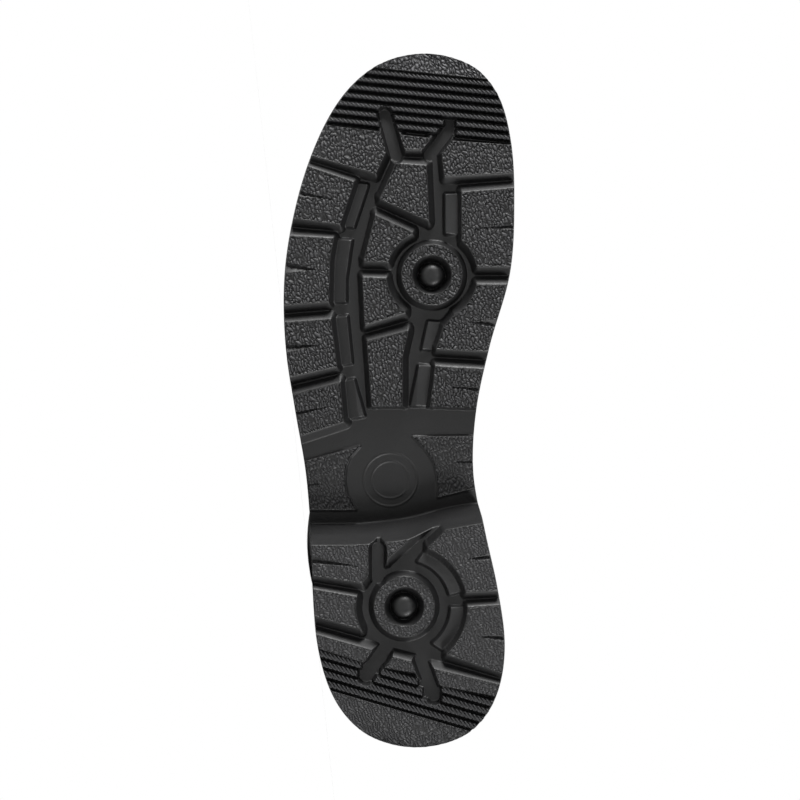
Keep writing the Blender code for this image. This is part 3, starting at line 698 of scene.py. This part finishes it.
def block_field(x, y, blocks, steps, pads, ribs, ring, sipes, pockets, sense, sole):
    """Rise of the tread above its groove floor, where its top is grained, and where it is a rib's crown.

    Blocks, strips, pads, ribs and the ring each rise with their wall's share, and the highest shows. Low strips
    rise from 0.2 of their height at the foot of their block to all of it away from there, as a gutter does.
    """
    height = sole.lug_height / MM
    lean = partial(wall_lean, base=sole.lean / MM, sense=sense, ribs=ribs)
    rise = np.zeros(x.shape)
    top = np.zeros(x.shape, bool)
    apart = np.full(x.shape, np.inf)
    for outline in blocks:
        distance, share = outline_distance(x, y, outline, lean)
        rise = np.maximum(rise, height * wall(share, 1.0))
        apart = np.minimum(apart, distance)
        top |= distance < -GRAIN_MARGIN
    gutter = sole.step_height / MM * (0.2 + 0.8 * np.clip(apart / GUTTER_WIDTH, 0, 1))
    for outline in steps:
        distance, _ = outline_distance(x, y, outline)
        rise = np.maximum(rise, gutter * wall(distance, STEP_LEAN))
    for outline in pads:
        distance, _ = outline_distance(x, y, outline)
        rise = np.maximum(rise, sole.pad_height / MM * wall(distance, PAD_LEAN))
        top |= distance < -GRAIN_MARGIN
    bars = rib_rise(x, y, ribs, height, sole.bead_pitch / MM)
    rise = np.maximum(rise, bars)
    round_rise, band, far = ring_rise(x, y, ring, height)
    rise = np.where(far < HOLE_RADIUS, round_rise, np.maximum(rise, round_rise))
    top |= band < -GRAIN_MARGIN
    rise, top = cut_pockets(rise, top, x, y, pockets, height)
    rise_cut, top = cut_sipes(rise, top, x, y, sipes)
    return rise_cut, top, (bars > CROWN_SHARE * height) & (rise >= bars)


def tread(x, y, sole):
    """Height of the underside at points (x, y), and its rubber's shade: 0 in the creases, painted shade, to 1 on
    the pebbles, a painted highlight.

    Forepart and waist: groove floor + arch + toe spring - rise. Heel: groove floor - rise, and in front of
    the breast line the breast's plane, z = (x - breast) / slope. The lower of the two is what shows, and the
    grain's depth times 1 - pebble is added on grained tops.
    Pebble is level + contrast p: 0.25 + 0.6 p on the heel, 0.05 + 0.6 p on the waist, p in the forepart.
    Its shade is a little less on heel and waist, and more at the tip of the toe, a painted highlight for the
    light that falls on the sprung toe.
    Smooth rubber has painted shade on the groove floor of the forepart and a painted shadow next to the breast.
    """
    height = sole.lug_height / MM
    front, front_top, front_bars = block_field(
        x, y, forefoot_blocks(), forefoot_steps(), waist_pads(), TOE_RIBS, FOREFOOT_RING, SIPES, TOE_POCKETS,
        1, sole,
    )
    back, back_top, back_bars = block_field(
        x, y, heel_blocks(), heel_steps(), [], HEEL_RIBS, HEEL_RING, HEEL_SIPES, HEEL_POCKETS, -1, sole
    )
    far = np.hypot(x - WAIST_FIELD[0], y - WAIST_FIELD[1])
    for radius in WAIST_RING_RADII:
        front = front + WAIST_RING_HEIGHT * np.clip(1 - np.abs(far - radius) / WAIST_RING_HALF, 0, 1)
    breast = (x - breast_line(y)) / BREAST_SLOPE
    fore, arch, tip = zone(x, FORE_ZONE), zone(x, ARCH_ZONE), zone(x, TOE_TIP_HIGHLIGHT_ZONE)
    pebble = 0.25 - 0.2 * arch - 0.05 * fore + (0.6 + 0.4 * fore) * pebbles(x, y, sole.grain_pitch / MM)
    forepart = height + arch_lift(x, y) + toe_spring(x) - front
    heel = -soft_least(back - height, -breast, 1.0)
    on_heel = heel < forepart
    top = np.where(on_heel, back_top & (breast < -0.4), front_top)
    z = soft_least(forepart, heel, 1.2) - np.where(top, sole.grain_depth / MM * (pebble - 1), 0)
    bars = np.where(on_heel, back_bars, front_bars)
    # Grained tops: the pebble crests are a painted highlight and the creases painted shade, and the toe's tip is
    # painted lighter still.
    grained = pebble * (0.88 + 0.12 * fore + 0.6 * tip) + 0.14 * tip
    # Smooth rubber: painted shadow that fades out in front of the breast, and painted shade on the forepart's
    # groove floor.
    smooth_painted_shade = zone(BREAST_SLOPE * breast, BREAST_SHADOW_ZONE) * (1 - 0.6 * fore * (1 - smooth_step(front / 2)))
    smooth_painted_shade = SMOOTH * np.where(on_heel, 1, smooth_painted_shade)
    # The ribs' crowns get a painted highlight.
    return z, np.where(top, grained, np.where(bars, RIB_CROWN_HIGHLIGHT, smooth_painted_shade))


def sheet_mesh(name, points, faces, materials, uv=None, normals=None, marks=None):
    """Object from row points (n, 3) and quads (m, 4): flat lists go straight into the mesh's own arrays."""
    mesh = bpy.data.meshes.new(name)
    mesh.vertices.add(len(points))
    mesh.vertices.foreach_set("co", np.ascontiguousarray(points, np.float32).ravel())
    corners = np.ascontiguousarray(faces, np.int32).ravel()
    mesh.loops.add(len(corners))
    mesh.loops.foreach_set("vertex_index", corners)
    mesh.polygons.add(len(faces))
    mesh.polygons.foreach_set("loop_start", np.arange(0, len(corners), 4, dtype=np.int32))
    mesh.polygons.foreach_set("use_smooth", np.ones(len(faces), bool))
    mesh.update(calc_edges=True)
    if uv is not None:
        layer = mesh.uv_layers.new(name="along_across")
        layer.data.foreach_set("uv", np.ascontiguousarray(uv[corners], np.float32).ravel())
    for key, values in (marks or {}).items():
        mark = mesh.attributes.new(key, "FLOAT", "POINT")
        mark.data.foreach_set("value", np.ascontiguousarray(values, np.float32))
    if mesh.validate():
        raise RuntimeError(f"{name}: the mesh has bad faces")
    if normals is not None:
        mesh.normals_split_custom_set_from_vertices(normals)
    for paint in materials:
        mesh.materials.append(paint)
    made = bpy.data.objects.new(name, mesh)
    bpy.context.scene.collection.objects.link(made)
    return made


def grid_faces(rows, columns, closed=False, flip=False):
    """Quads of a grid of points, row by row, joined round where it is closed."""
    index = np.arange(rows * columns).reshape(rows, columns)
    if closed:
        index = np.concatenate([index, index[:, :1]], axis=1)
    quads = np.stack([index[:-1, :-1], index[:-1, 1:], index[1:, 1:], index[1:, :-1]], axis=-1).reshape(-1, 4)
    return quads[:, ::-1] if flip else quads


def grid_normals(points):
    """Unit normals of a grid: cross product of its two differences, or nothing where they vanish."""
    normal = np.cross(np.gradient(points, axis=0), np.gradient(points, axis=1))
    size = np.linalg.norm(normal, axis=-1, keepdims=True)
    return np.where(size > 1e-12, normal / np.maximum(size, 1e-12), 0)


def tread_stations(cell):
    """Places along the sole: even steps, with finer ones at the very ends of its round heel and toe."""
    low, high = TREAD_INSET, SOLE_LENGTH - TREAD_INSET
    even = np.linspace(low, high, int((high - low) / cell))
    ends = np.array([0.01, 0.03, 0.07, 0.13, 0.22])
    return np.unique(np.round(np.concatenate([even, low + ends, high - ends]), 4))


def tread_points(sole):
    """Grid of the underside: stations along the sole, even steps across it from edge to edge."""
    x = tread_stations(sole.cell / MM)
    left, right = edges_at(x, TREAD_INSET)
    share = np.linspace(0, 1, int(BALL_WIDTH / (sole.cell / MM)))
    grid_y = left[:, None] + (right - left)[:, None] * share
    grid_x = np.broadcast_to(x[:, None], grid_y.shape)
    z, grain = tread(grid_x, grid_y, sole)
    return np.stack([grid_x, grid_y, z], axis=-1), grain


def node(tree, kind, inputs=None, **settings):
    """Add a node. Settings are its own properties; inputs are values, or (node, output) pairs to link."""
    made = tree.nodes.new(kind)
    for name, value in settings.items():
        setattr(made, name, value)
    for name, value in (inputs or {}).items():
        if isinstance(value, tuple) and isinstance(value[0], bpy.types.Node):
            tree.links.new(value[0].outputs[value[1]], made.inputs[name])
        else:
            made.inputs[name].default_value = value
    return made


def per_mm(size):
    """Texture scale that gives features of this many millimetres on coordinates in metres."""
    return 1 / (size * MM)


def blank_material(name):
    """Empty node material, and its tree."""
    paint = bpy.data.materials.new(name)
    paint.use_nodes = True
    paint.node_tree.nodes.clear()
    return paint, paint.node_tree


def shade(colour, share):
    """Shade of a colour, as the four values a node's socket holds."""
    return (*[part * share for part in colour], 1.0)


def sole_rubber(sole):
    """Black nitrile rubber from a steel mould: satin on smooth faces, with a painted highlight that makes the
    pebbles greyer and painted shade that makes the creases black.

    The attribute grain mixes the shades: 0 in a crease, painted shade, 1 on a pebble, painted highlight, and
    more at the toe's tip, a painted highlight for the light that falls on it.
    """
    paint, tree = blank_material("moulded_nitrile_rubber_satin")
    place = node(tree, "ShaderNodeTexCoord")
    blotch = node(tree, "ShaderNodeTexNoise", {"Vector": (place, "Object"), "Scale": per_mm(24), "Detail": 3.0})
    fine = node(tree, "ShaderNodeTexNoise", {"Vector": (place, "Object"), "Scale": per_mm(0.7), "Detail": 2.0})
    grain = node(tree, "ShaderNodeAttribute", attribute_name="grain")
    # Shade of the pebbles: a painted highlight, lighter copies of the rubber mixed by a random blotch.
    pebble_highlight = node(
        tree, "ShaderNodeMix",
        {0: (blotch, "Fac"), 6: shade(sole.colour, 3.6), 7: shade(sole.colour, 4.4)}, data_type="RGBA",
    )
    # The grain attribute mixes painted shade in the creases with the painted highlight on the pebbles.
    colour = node(
        tree, "ShaderNodeMix", {0: (grain, "Fac"), 6: shade(sole.colour, 0.15), 7: (pebble_highlight, 2)},
        data_type="RGBA", clamp_factor=False,
    )
    rough = node(
        tree, "ShaderNodeMapRange",
        {"Value": (fine, "Fac"), "From Min": 0.3, "From Max": 0.7, "To Min": 0.42, "To Max": 0.56},
    )
    relief = node(tree, "ShaderNodeBump", {"Height": (fine, "Fac"), "Strength": 0.25, "Distance": 0.00012})
    shader = node(tree, "ShaderNodeBsdfPrincipled", {
        "Base Color": (colour, 2), "Roughness": (rough, "Result"), "Normal": (relief, "Normal"), "IOR": 1.5,
    })
    node(tree, "ShaderNodeOutputMaterial", {"Surface": (shader, "BSDF")})
    return paint


def upper_rubber(upper):
    """Black rubber sheet, vulcanised on the last: even satin with a faint orange peel."""
    paint, tree = blank_material("vulcanised_rubber_sheet_satin")
    place = node(tree, "ShaderNodeTexCoord")
    blotch = node(tree, "ShaderNodeTexNoise", {"Vector": (place, "Object"), "Scale": per_mm(40), "Detail": 4.0})
    peel = node(tree, "ShaderNodeTexNoise", {"Vector": (place, "Object"), "Scale": per_mm(1.6), "Detail": 2.0})
    colour = node(
        tree, "ShaderNodeMix",
        {0: (blotch, "Fac"), 6: shade(upper.colour, 0.85), 7: shade(upper.colour, 1.15)}, data_type="RGBA",
    )
    rough = node(
        tree, "ShaderNodeMapRange",
        {"Value": (blotch, "Fac"), "From Min": 0.3, "From Max": 0.7, "To Min": 0.36, "To Max": 0.48},
    )
    relief = node(tree, "ShaderNodeBump", {"Height": (peel, "Fac"), "Strength": 0.22, "Distance": 0.0002})
    shader = node(tree, "ShaderNodeBsdfPrincipled", {
        "Base Color": (colour, 2), "Roughness": (rough, "Result"), "Normal": (relief, "Normal"), "IOR": 1.52,
    })
    node(tree, "ShaderNodeOutputMaterial", {"Surface": (shader, "BSDF")})
    return paint


def lining_knit(upper):
    """Polyester knit bonded to the inside: matt, with ribs 1.6 mm apart along the leg, and loops 1.2 mm long."""
    paint, tree = blank_material("knitted_polyester_lining")
    lie = node(tree, "ShaderNodeUVMap", uv_map="along_across")
    ribs, loops = (
        node(
            tree, "ShaderNodeTexWave",
            {"Vector": (lie, "UV"), "Scale": per_mm(pitch) * math.tau / 20, "Distortion": distortion},
            bands_direction=direction,
        )
        for pitch, distortion, direction in ((1.6, 0.6, "Y"), (1.2, 1.5, "X"))
    )
    knit = node(tree, "ShaderNodeMath", {0: (ribs, "Fac"), 1: (loops, "Fac")}, operation="MULTIPLY")
    colour = node(
        tree, "ShaderNodeMix",
        {0: (knit, "Value"), 6: shade(upper.lining, 0.55), 7: shade(upper.lining, 1.15)}, data_type="RGBA",
    )
    relief = node(tree, "ShaderNodeBump", {"Height": (knit, "Value"), "Strength": 0.6, "Distance": 0.0004})
    shader = node(tree, "ShaderNodeBsdfPrincipled", {
        "Base Color": (colour, 2), "Normal": (relief, "Normal"), "Roughness": 0.9, "Sheen Weight": 0.25,
    })
    node(tree, "ShaderNodeOutputMaterial", {"Surface": (shader, "BSDF")})
    return paint


def insole_felt(upper):
    """Needled grey felt: matt, with tangled fibres in two shades, drawn 1.2 mm coarse so that they show."""
    paint, tree = blank_material("needled_felt")
    place = node(tree, "ShaderNodeTexCoord")
    fibre = node(
        tree, "ShaderNodeTexNoise",
        {"Vector": (place, "Object"), "Scale": per_mm(1.2), "Detail": 5.0, "Distortion": 1.2},
    )
    colour = node(
        tree, "ShaderNodeMix",
        {0: (fibre, "Fac"), 6: shade(upper.felt, 0.6), 7: shade(upper.felt, 1.3)}, data_type="RGBA",
    )
    relief = node(tree, "ShaderNodeBump", {"Height": (fibre, "Fac"), "Strength": 0.7, "Distance": 0.0005})
    shader = node(tree, "ShaderNodeBsdfPrincipled", {
        "Base Color": (colour, 2), "Normal": (relief, "Normal"), "Roughness": 0.95, "Sheen Weight": 0.3,
    })
    node(tree, "ShaderNodeOutputMaterial", {"Surface": (shader, "BSDF")})
    return paint


def floor_paint(stage):
    """Matt white studio floor, with a faint unevenness in its shade."""
    paint, tree = blank_material("matt_white_studio_floor")
    place = node(tree, "ShaderNodeTexCoord")
    patch = node(tree, "ShaderNodeTexNoise", {"Vector": (place, "Object"), "Scale": per_mm(300), "Detail": 2.0})
    colour = node(
        tree, "ShaderNodeMix",
        {0: (patch, "Fac"), 6: shade(stage.floor, 0.99), 7: shade(stage.floor, 1.0)}, data_type="RGBA",
    )
    shader = node(tree, "ShaderNodeBsdfPrincipled", {
        "Base Color": (colour, 2), "Roughness": 0.9, "Specular IOR Level": 0.1,
    })
    node(tree, "ShaderNodeOutputMaterial", {"Surface": (shader, "BSDF")})
    return paint


def named_material(name, maker, settings):
    """The material of this name, made once."""
    return bpy.data.materials.get(name) or maker(settings)


class BOOT_OT_tread(bpy.types.Operator):
    """Builds the underside of the sole as three pieces of one grid"""

    bl_idname = "boot.tread"
    bl_label = "Tread"

    def execute(self, context):
        sole = context.scene.boot_sole
        points, grain = tread_points(sole)
        normals = grid_normals(points)
        normals[np.linalg.norm(normals, axis=-1) < 0.5] = (0, 0, -1)
        normals[normals[..., 2] > 0] *= -1
        x = points[:, 0, 0]
        cuts = [0, *np.searchsorted(x, TREAD_CUTS), len(x) - 1]
        paint = named_material("moulded_nitrile_rubber_satin", sole_rubber, sole)
        for name, start, end in zip(("tread_heel", "tread_waist", "tread_forefoot"), cuts[:-1], cuts[1:]):
            part = slice(start, end + 1)
            rows, columns = points[part].shape[:2]
            # The grain attribute carries painted shade in the creases, and painted highlights on the pebbles,
            # the rib crowns and the toe's tip.
            made = sheet_mesh(
                name,
                to_row(points[part]).reshape(-1, 3),
                grid_faces(rows, columns),
                [paint],
                uv=points[part, :, :2].reshape(-1, 2) * MM,
                normals=normals[part].reshape(-1, 3) @ lying_turn().T,
                marks={"grain": grain[part].ravel()},
            )
            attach(made, "root")
            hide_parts("outsole")
        return {"FINISHED"}


def side_rows(edge, sole):
    """Rows of the sole's side from the tread's edge up over the lip and down to the foot floor.

    Each row is the edge moved along its outward normal, at a height given as a share from the groove floor
    to the lip, with arch and toe spring as in the underside. A row of the rising part that would lie below the
    one before it is lifted to just above it.
    """
    x, y, z = edge.T
    out = outward(edge[:, :2])
    height = sole.lug_height / MM
    spring = toe_spring(x)
    arch = arch_lift(x, y)
    floor = foot_floor(x)
    body = height + arch + spring
    low = np.minimum(body, np.maximum(height, (x - breast_line(y)) / BREAST_SLOPE))
    low = np.maximum(low, z)
    heel = smooth_step((body - low) / 3)

    def bent(share):
        """Height at a share from groove floor to lip: the arch fades out towards the foot floor."""
        level = height + share * (floor + LIP_HEIGHT - height)
        return level + spring + arch * (1 - np.clip((level - height) / (floor - height), 0, 1))

    rows = [
        (TREAD_INSET, z),
        (0.12, low + 0.05),
        (0.0, low + 0.4),
        (0.1, np.maximum(low + 0.5, body - 0.5)),
        (0.1 + 0.5 * heel, np.maximum(low + 0.6, body - 0.1)),
        (0.0, np.maximum(low + 0.8, body + 0.4)),
        (0.35, bent(0.30)),
        (0.8, bent(0.50)),
        (0.95, bent(0.52)),
        (1.55, bent(0.56)),
        (1.75, bent(0.60)),
        (1.9, bent(0.85)),
        (2.0, bent(0.965)),
        (2.2, bent(0.99)),
        (2.5, bent(1.0)),
        (3.6, bent(1.0)),
        (4.0, bent(0.985)),
        (LIP_INSET, bent(0.95)),
        (LIP_INSET, floor + spring),
    ]
    insets = np.array([np.broadcast_to(inset, x.shape) for inset, _ in rows])
    levels = np.array([level for _, level in rows])
    rising = len(rows) - 4
    climb = levels[:rising] - LEAST_CLIMB * np.arange(rising)[:, None]
    levels[:rising] += np.maximum.accumulate(climb, axis=0) - climb
    flat = edge[:, :2] + (TREAD_INSET - insets)[..., None] * out
    return np.concatenate([flat, levels[..., None]], axis=-1)


class BOOT_OT_side(bpy.types.Operator):
    """Builds the side wall and lip of the sole, and the foot floor as faces across its last row"""

    bl_idname = "boot.side"
    bl_label = "Sole side"

    def execute(self, context):
        sole = context.scene.boot_sole
        points, _ = tread_points(sole)
        edge = np.concatenate([points[:, 0], points[-2:0:-1, -1]])
        grid = side_rows(edge, sole)
        rows, count = grid.shape[:2]
        half = len(points) - 1
        last = (rows - 1) * count
        i = np.arange(half)
        across = np.stack([i, i + 1, (count - i - 1) % count, (count - i) % count], axis=-1) + last
        faces = np.vstack([grid_faces(rows, count, closed=True), across[1:-1]])
        paint = named_material("moulded_nitrile_rubber_satin", sole_rubber, sole)
        made = sheet_mesh(
            "sole_side", to_row(grid).reshape(-1, 3), faces, [paint],
            marks={"grain": np.full(rows * count, SMOOTH)},
        )
        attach(made, "root")
        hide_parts("outsole")
        return {"FINISHED"}


def section_columns(between):
    """Columns of the section table read at finer rows by cubic curves.

    Up to the section where the heel closes, the base lies on the featherline and takes its place from there.
    """
    outer, _ = sole_sides(FEATHER_INSET)
    base_x = np.array([min(row.base_x, outer[-1, 0]) for row in SECTIONS])
    closed = [row.base_z is not None for row in SECTIONS].index(True) - 1
    base_x[closed] = outer[0, 0]
    index = np.arange(len(SECTIONS))
    fine = np.linspace(0, index[-1], index[-1] * between + 1)
    on_sole = fine <= closed
    x = curve(list(zip(index, base_x)), fine)
    x = np.where(fine < closed + 3, np.clip(x, outer[0, 0], outer[-1, 0]), x)
    left, right = edges_at(x, FEATHER_INSET)
    floor = foot_floor(x) + toe_spring(x) + FEATHER_LIFT
    base_half = np.where(on_sole, (right - left) / 2, 0.0)
    heel_z = foot_floor(outer[0, 0]) + FEATHER_LIFT
    back_z = [heel_z if row.base_z is None else row.base_z for row in SECTIONS]
    back_y = [outer[0, 1] if row.base_y is None else row.base_y for row in SECTIONS]
    base_z = np.where(on_sole, floor, curve(list(zip(index, back_z)), fine))
    base_y = np.where(on_sole, (left + right) / 2, curve(list(zip(index, back_y)), fine))
    near, far = edges_at(base_x, FEATHER_INSET)
    widths = [
        FOOT_WIDER * own if row.half_width is None else row.half_width
        for row, own in zip(SECTIONS, (far - near) / 2)
    ]
    half_width = np.maximum(curve(list(zip(index, widths)), fine), base_half * LEG_WIDER)
    foot = fine <= sum(row.half_width is None for row in SECTIONS) - 1
    half_width = np.where(foot, base_half * FOOT_WIDER, half_width)
    named = {
        name: curve([(i, getattr(row, name)) for i, row in enumerate(SECTIONS)], fine)
        for name in ("top_x", "top_z", "front_depth", "back_depth", "square", "top_y")
    }
    named.update(base_x=x, base_z=base_z, base_y=base_y, base_half=base_half, half_width=half_width, place=fine)
    return named


def with_collar(column):
    """Columns with the collar's level rows added: the last section, moved out by each row's step."""
    height, step = np.array(COLLAR_ROWS).T
    extra = {name: np.full(len(step), values[-1]) for name, values in column.items()}
    extra.update(top_z=height, base_z=height, top_x=extra["top_x"] + step, base_x=extra["base_x"] - step)
    for name in ("half_width", "front_depth", "back_depth"):
        extra[name] = extra[name] + step
    extra["place"] = extra["place"] + np.arange(1, len(step) + 1) * 0.01
    return {name: np.append(values, extra[name]) for name, values in column.items()}


def upper_surface(between, side):
    """Outer face of the upper, a grid of rows from toe to collar; each row runs over the top, side to side.

    Half width at share p from base to top: within front_depth of the top a superellipse closes it, and
    within back_depth of the base an ellipse runs down to the base's own half width. Inside the sole's side
    wall the face keeps to the featherline, and it swells past it only above.
    """
    column = with_collar(section_columns(between))
    get = {name: values[:, None] for name, values in column.items()}
    p = (1 - np.cos(np.linspace(0, math.pi, side + 1)))[None, :] / 2
    length = np.hypot(get["top_x"] - get["base_x"], get["top_z"] - get["base_z"])
    ratio = np.clip(get["base_half"] / np.maximum(get["half_width"], 1e-6), 0, 1)
    below = np.sqrt(1 - ratio**2) * np.clip(1 - p * length / get["back_depth"], 0, 1)
    above = np.clip(1 - (1 - p) * length / get["front_depth"], 0, 1)
    half = get["half_width"] * np.sqrt(1 - below**2) * (1 - above ** get["square"]) ** (1 / get["square"])
    middle = get["base_y"] + (get["top_y"] - get["base_y"]) * smooth_step(p)
    x = get["base_x"] + (get["top_x"] - get["base_x"]) * p
    z = get["base_z"] + (get["top_z"] - get["base_z"]) * p
    left, right = edges_at(x, FEATHER_INSET)
    above_lip = np.clip(z - foot_floor(x) - toe_spring(x) - LIP_HEIGHT, 0, None)
    swell = SWELL * above_lip**2 / (above_lip + SWELL_HEIGHT)
    low = np.maximum(middle - half, left - swell)
    high = np.minimum(middle + half, right + swell)
    outer = np.stack([x, low, z], axis=-1)
    inner = np.stack([x, high, z], axis=-1)
    share = np.concatenate([p, p[:, -2::-1]], axis=1)
    return np.concatenate([outer, inner[:, -2::-1]], axis=1), column["place"], share[0]


def fold_depth(place, share):
    """How far the rubber sinks: bell curves across the folds, faded from the front towards the sides."""
    sunk = np.zeros((len(place), len(share)))
    for middle, width, depth, reach in FOLDS:
        bell = np.exp(-(((place - middle) / width) ** 2))
        sunk += depth * bell[:, None] * smooth_step((share - 1 + reach) / reach)[None, :]
    return sunk


class BOOT_OT_upper(bpy.types.Operator):
    """Builds the hollow upper, with its lining on the inside of the wall"""

    bl_idname = "boot.upper"
    bl_label = "Upper and lining"

    def execute(self, context):
        upper = context.scene.boot_upper
        points, place, share = upper_surface(*UPPER_POINTS)
        points = points + grid_normals(points) * (upper.crease / MM) * fold_depth(place, share)[..., None]
        rows, columns = points.shape[:2]
        along = np.cumsum(np.linalg.norm(np.diff(points, axis=0, prepend=points[:1]), axis=-1), axis=0)
        around = np.cumsum(np.linalg.norm(np.diff(points, axis=1, prepend=points[:, :1]), axis=-1), axis=1)
        uv = np.stack([along.mean(axis=1, keepdims=True) + 0 * around, around], axis=-1)
        made = sheet_mesh(
            "upper_shell",
            to_row(points).reshape(-1, 3),
            grid_faces(rows, columns),
            [
                named_material("vulcanised_rubber_sheet_satin", upper_rubber, upper),
                named_material("knitted_polyester_lining", lining_knit, upper),
            ],
            uv=uv.reshape(-1, 2) * MM,
        )
        weld = made.modifiers.new("back_seam", "WELD")
        weld.merge_threshold = 0.00001
        shell = made.modifiers.new("wall", "SOLIDIFY")
        shell.thickness = upper.wall
        shell.offset = -1.0
        shell.material_offset = 1
        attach(made, "root")
        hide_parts("upper")
        return {"FINISHED"}


def insole_grid(thick):
    """Rows across the insole from heel to toe, each from its lower outer edge over the top to the inner one.

    A row is flat at the insole's thickness between two rounded rims, and its sides rise in a cup at the heel:
    cup S((120 - x) / 60) |2 t - 1|^3, with t the share across.
    """
    outer, _ = sole_sides(INSOLE_INSET)
    along, across = INSOLE_POINTS
    angle = np.linspace(0, math.pi, along)
    x = outer[0, 0] + (outer[-1, 0] - outer[0, 0]) * (1 - np.cos(angle)) / 2
    left, right = edges_at(x, INSOLE_INSET)
    flat = np.linspace(0, 1, across)[1:-1]
    rim, rise = INSOLE_RIM.T
    inset = np.concatenate([rim, 0 * flat, -rim[::-1]])
    level = np.concatenate([rise, 0 * flat + 1, rise[::-1]])
    spread = np.concatenate([0 * rim, flat, 0 * rim + 1])
    width = (right - left)[:, None]
    y = left[:, None] + width * spread + np.minimum(1, width / 6) * inset
    z = foot_floor(x) + toe_spring(x) + INSOLE_LIFT
    cup = INSOLE_CUP * smooth_step((120 - x) / 60)[:, None] * (np.abs(spread - 0.5) * 2) ** 3 * (level > 0.5)
    return np.stack([np.broadcast_to(x[:, None], y.shape), y, z[:, None] + thick * level + cup], axis=-1)


class BOOT_OT_insole(bpy.types.Operator):
    """Builds the loose felt insole"""

    bl_idname = "boot.insole"
    bl_label = "Insole"

    def execute(self, context):
        upper = context.scene.boot_upper
        grid = insole_grid(upper.insole / MM)
        rows, columns = grid.shape[:2]
        made = sheet_mesh(
            "felt_insole", to_row(grid).reshape(-1, 3), grid_faces(rows, columns, closed=True, flip=True),
            [named_material("needled_felt", insole_felt, upper)],
        )
        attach(made, "root")
        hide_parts("insole")
        return {"FINISHED"}


def placed(axes, place):
    """Matrix that puts an object at a place, with the columns of axes as its own axes."""
    return Matrix([[*row, at] for row, at in zip(axes, place)] + [[0, 0, 0, 1]])


def area_light(name, place, target, size, watts):
    """Area light at a place of the row, aimed at a target."""
    lamp = bpy.data.lights.new(name, "AREA")
    lamp.shape = "RECTANGLE"
    lamp.size, lamp.size_y = size
    lamp.energy = watts
    made = bpy.data.objects.new(name, lamp)
    bpy.context.scene.collection.objects.link(made)
    back = np.array(place) - np.array(target)
    back = back / np.linalg.norm(back)
    side = np.cross((0.0, 0.0, 1.0) if abs(back[2]) < 0.95 else (0.0, 1.0, 0.0), back)
    side /= np.linalg.norm(side)
    made.matrix_world = placed(np.column_stack([side, np.cross(back, side), back]), place)


class BOOT_OT_stage(bpy.types.Operator):
    """Builds the floor, the soft lights and the camera that looks straight at the tread"""

    bl_idname = "boot.stage"
    bl_label = "Stage"

    def execute(self, context):
        scene = context.scene
        stage = scene.boot_stage
        span = np.linspace(-1.0, 1.0, FLOOR_POINTS)
        x, y = np.meshgrid(span, FLOOR_HALF_DEPTH * span + FLOOR_MIDDLE, indexing="ij")
        floor = sheet_mesh(
            "studio_floor", np.stack([x, y, 0 * x], axis=-1).reshape(-1, 3),
            grid_faces(FLOOR_POINTS, FLOOR_POINTS, flip=True),
            [named_material("matt_white_studio_floor", floor_paint, stage)],
        )
        middle = to_row([*AIM, 0.0])
        eye = to_row([AIM[0], AIM[1] - stage.drop / MM, -stage.distance / MM])
        lens = bpy.data.cameras.new("photo_camera")
        lens.sensor_width = SENSOR
        lens.lens = SENSOR * stage.distance / stage.view
        lens.clip_start = 0.02
        lens.clip_end = 50.0
        camera = bpy.data.objects.new("photo_camera", lens)
        scene.collection.objects.link(camera)
        back = (eye - middle) / np.linalg.norm(eye - middle)
        up = lying_turn()[:, 0]
        camera.matrix_world = placed(np.column_stack([np.cross(up, back), up, back]), eye)
        scene.camera = camera
        area_light("toe_softbox", (-1.9, -0.7, 0.5), LIT_POINT, (0.7, 0.7), stage.toe_watts)
        area_light("heel_softbox", (1.9, -0.9, 0.6), LIT_POINT, (0.7, 0.7), stage.heel_watts)
        area_light("front_softbox", (0.0, -2.0, 0.9), LIT_POINT, (1.2, 1.2), stage.front_watts)
        area_light("top_wash", (0.0, 0.95, 1.6), (0.0, 0.6, 0.0), (2.4, 1.2), stage.wash)
        world = bpy.data.worlds.new("studio_room")
        world.use_nodes = True
        tree = world.node_tree
        tree.nodes.clear()
        path = node(tree, "ShaderNodeLightPath")
        seen = node(
            tree, "ShaderNodeMapRange",
            {"Value": (path, "Is Camera Ray"), "To Min": stage.ambient, "To Max": 1.0},
        )
        glow = node(tree, "ShaderNodeBackground", {"Color": (1, 1, 1, 1), "Strength": (seen, "Result")})
        node(tree, "ShaderNodeOutputWorld", {"Surface": (glow, "Background")})
        scene.world = world
        scene.view_settings.view_transform = "Standard"
        return {"FINISHED"}


class BOOT_PT_panel(bpy.types.Panel):
    """Lists the boot's settings and builders"""

    bl_idname = "BOOT_PT_panel"
    bl_label = "Sea boot"
    bl_space_type = "VIEW_3D"
    bl_region_type = "UI"
    bl_category = "Boot"

    def draw(self, context):
        scene = context.scene
        for settings, operators in (
            (scene.boot_sole, (BOOT_OT_tread, BOOT_OT_side)),
            (scene.boot_upper, (BOOT_OT_upper, BOOT_OT_insole)),
            (scene.boot_stage, (BOOT_OT_stage,)),
        ):
            box = self.layout.box()
            for name in settings.__annotations__:
                box.prop(settings, name)
            for operator in operators:
                box.operator(operator.bl_idname)


SETTINGS = {"boot_sole": SoleSettings, "boot_upper": UpperSettings, "boot_stage": StageSettings}
CLASSES = [
    *SETTINGS.values(),
    BOOT_OT_tread, BOOT_OT_side, BOOT_OT_upper, BOOT_OT_insole, BOOT_OT_stage, BOOT_PT_panel,
]


def register():
    for cls in CLASSES:
        bpy.utils.register_class(cls)
    for name, group in SETTINGS.items():
        setattr(bpy.types.Scene, name, bpy.props.PointerProperty(type=group))


def unregister():
    for name in SETTINGS:
        delattr(bpy.types.Scene, name)
    for cls in reversed(CLASSES):
        bpy.utils.unregister_class(cls)


def main():
    """Build every piece in order."""
    register()
    bpy.ops.boot.tread()
    bpy.ops.boot.side()
    bpy.ops.boot.upper()
    bpy.ops.boot.insole()
    bpy.ops.boot.stage()


if __name__ == "__main__":
    main()
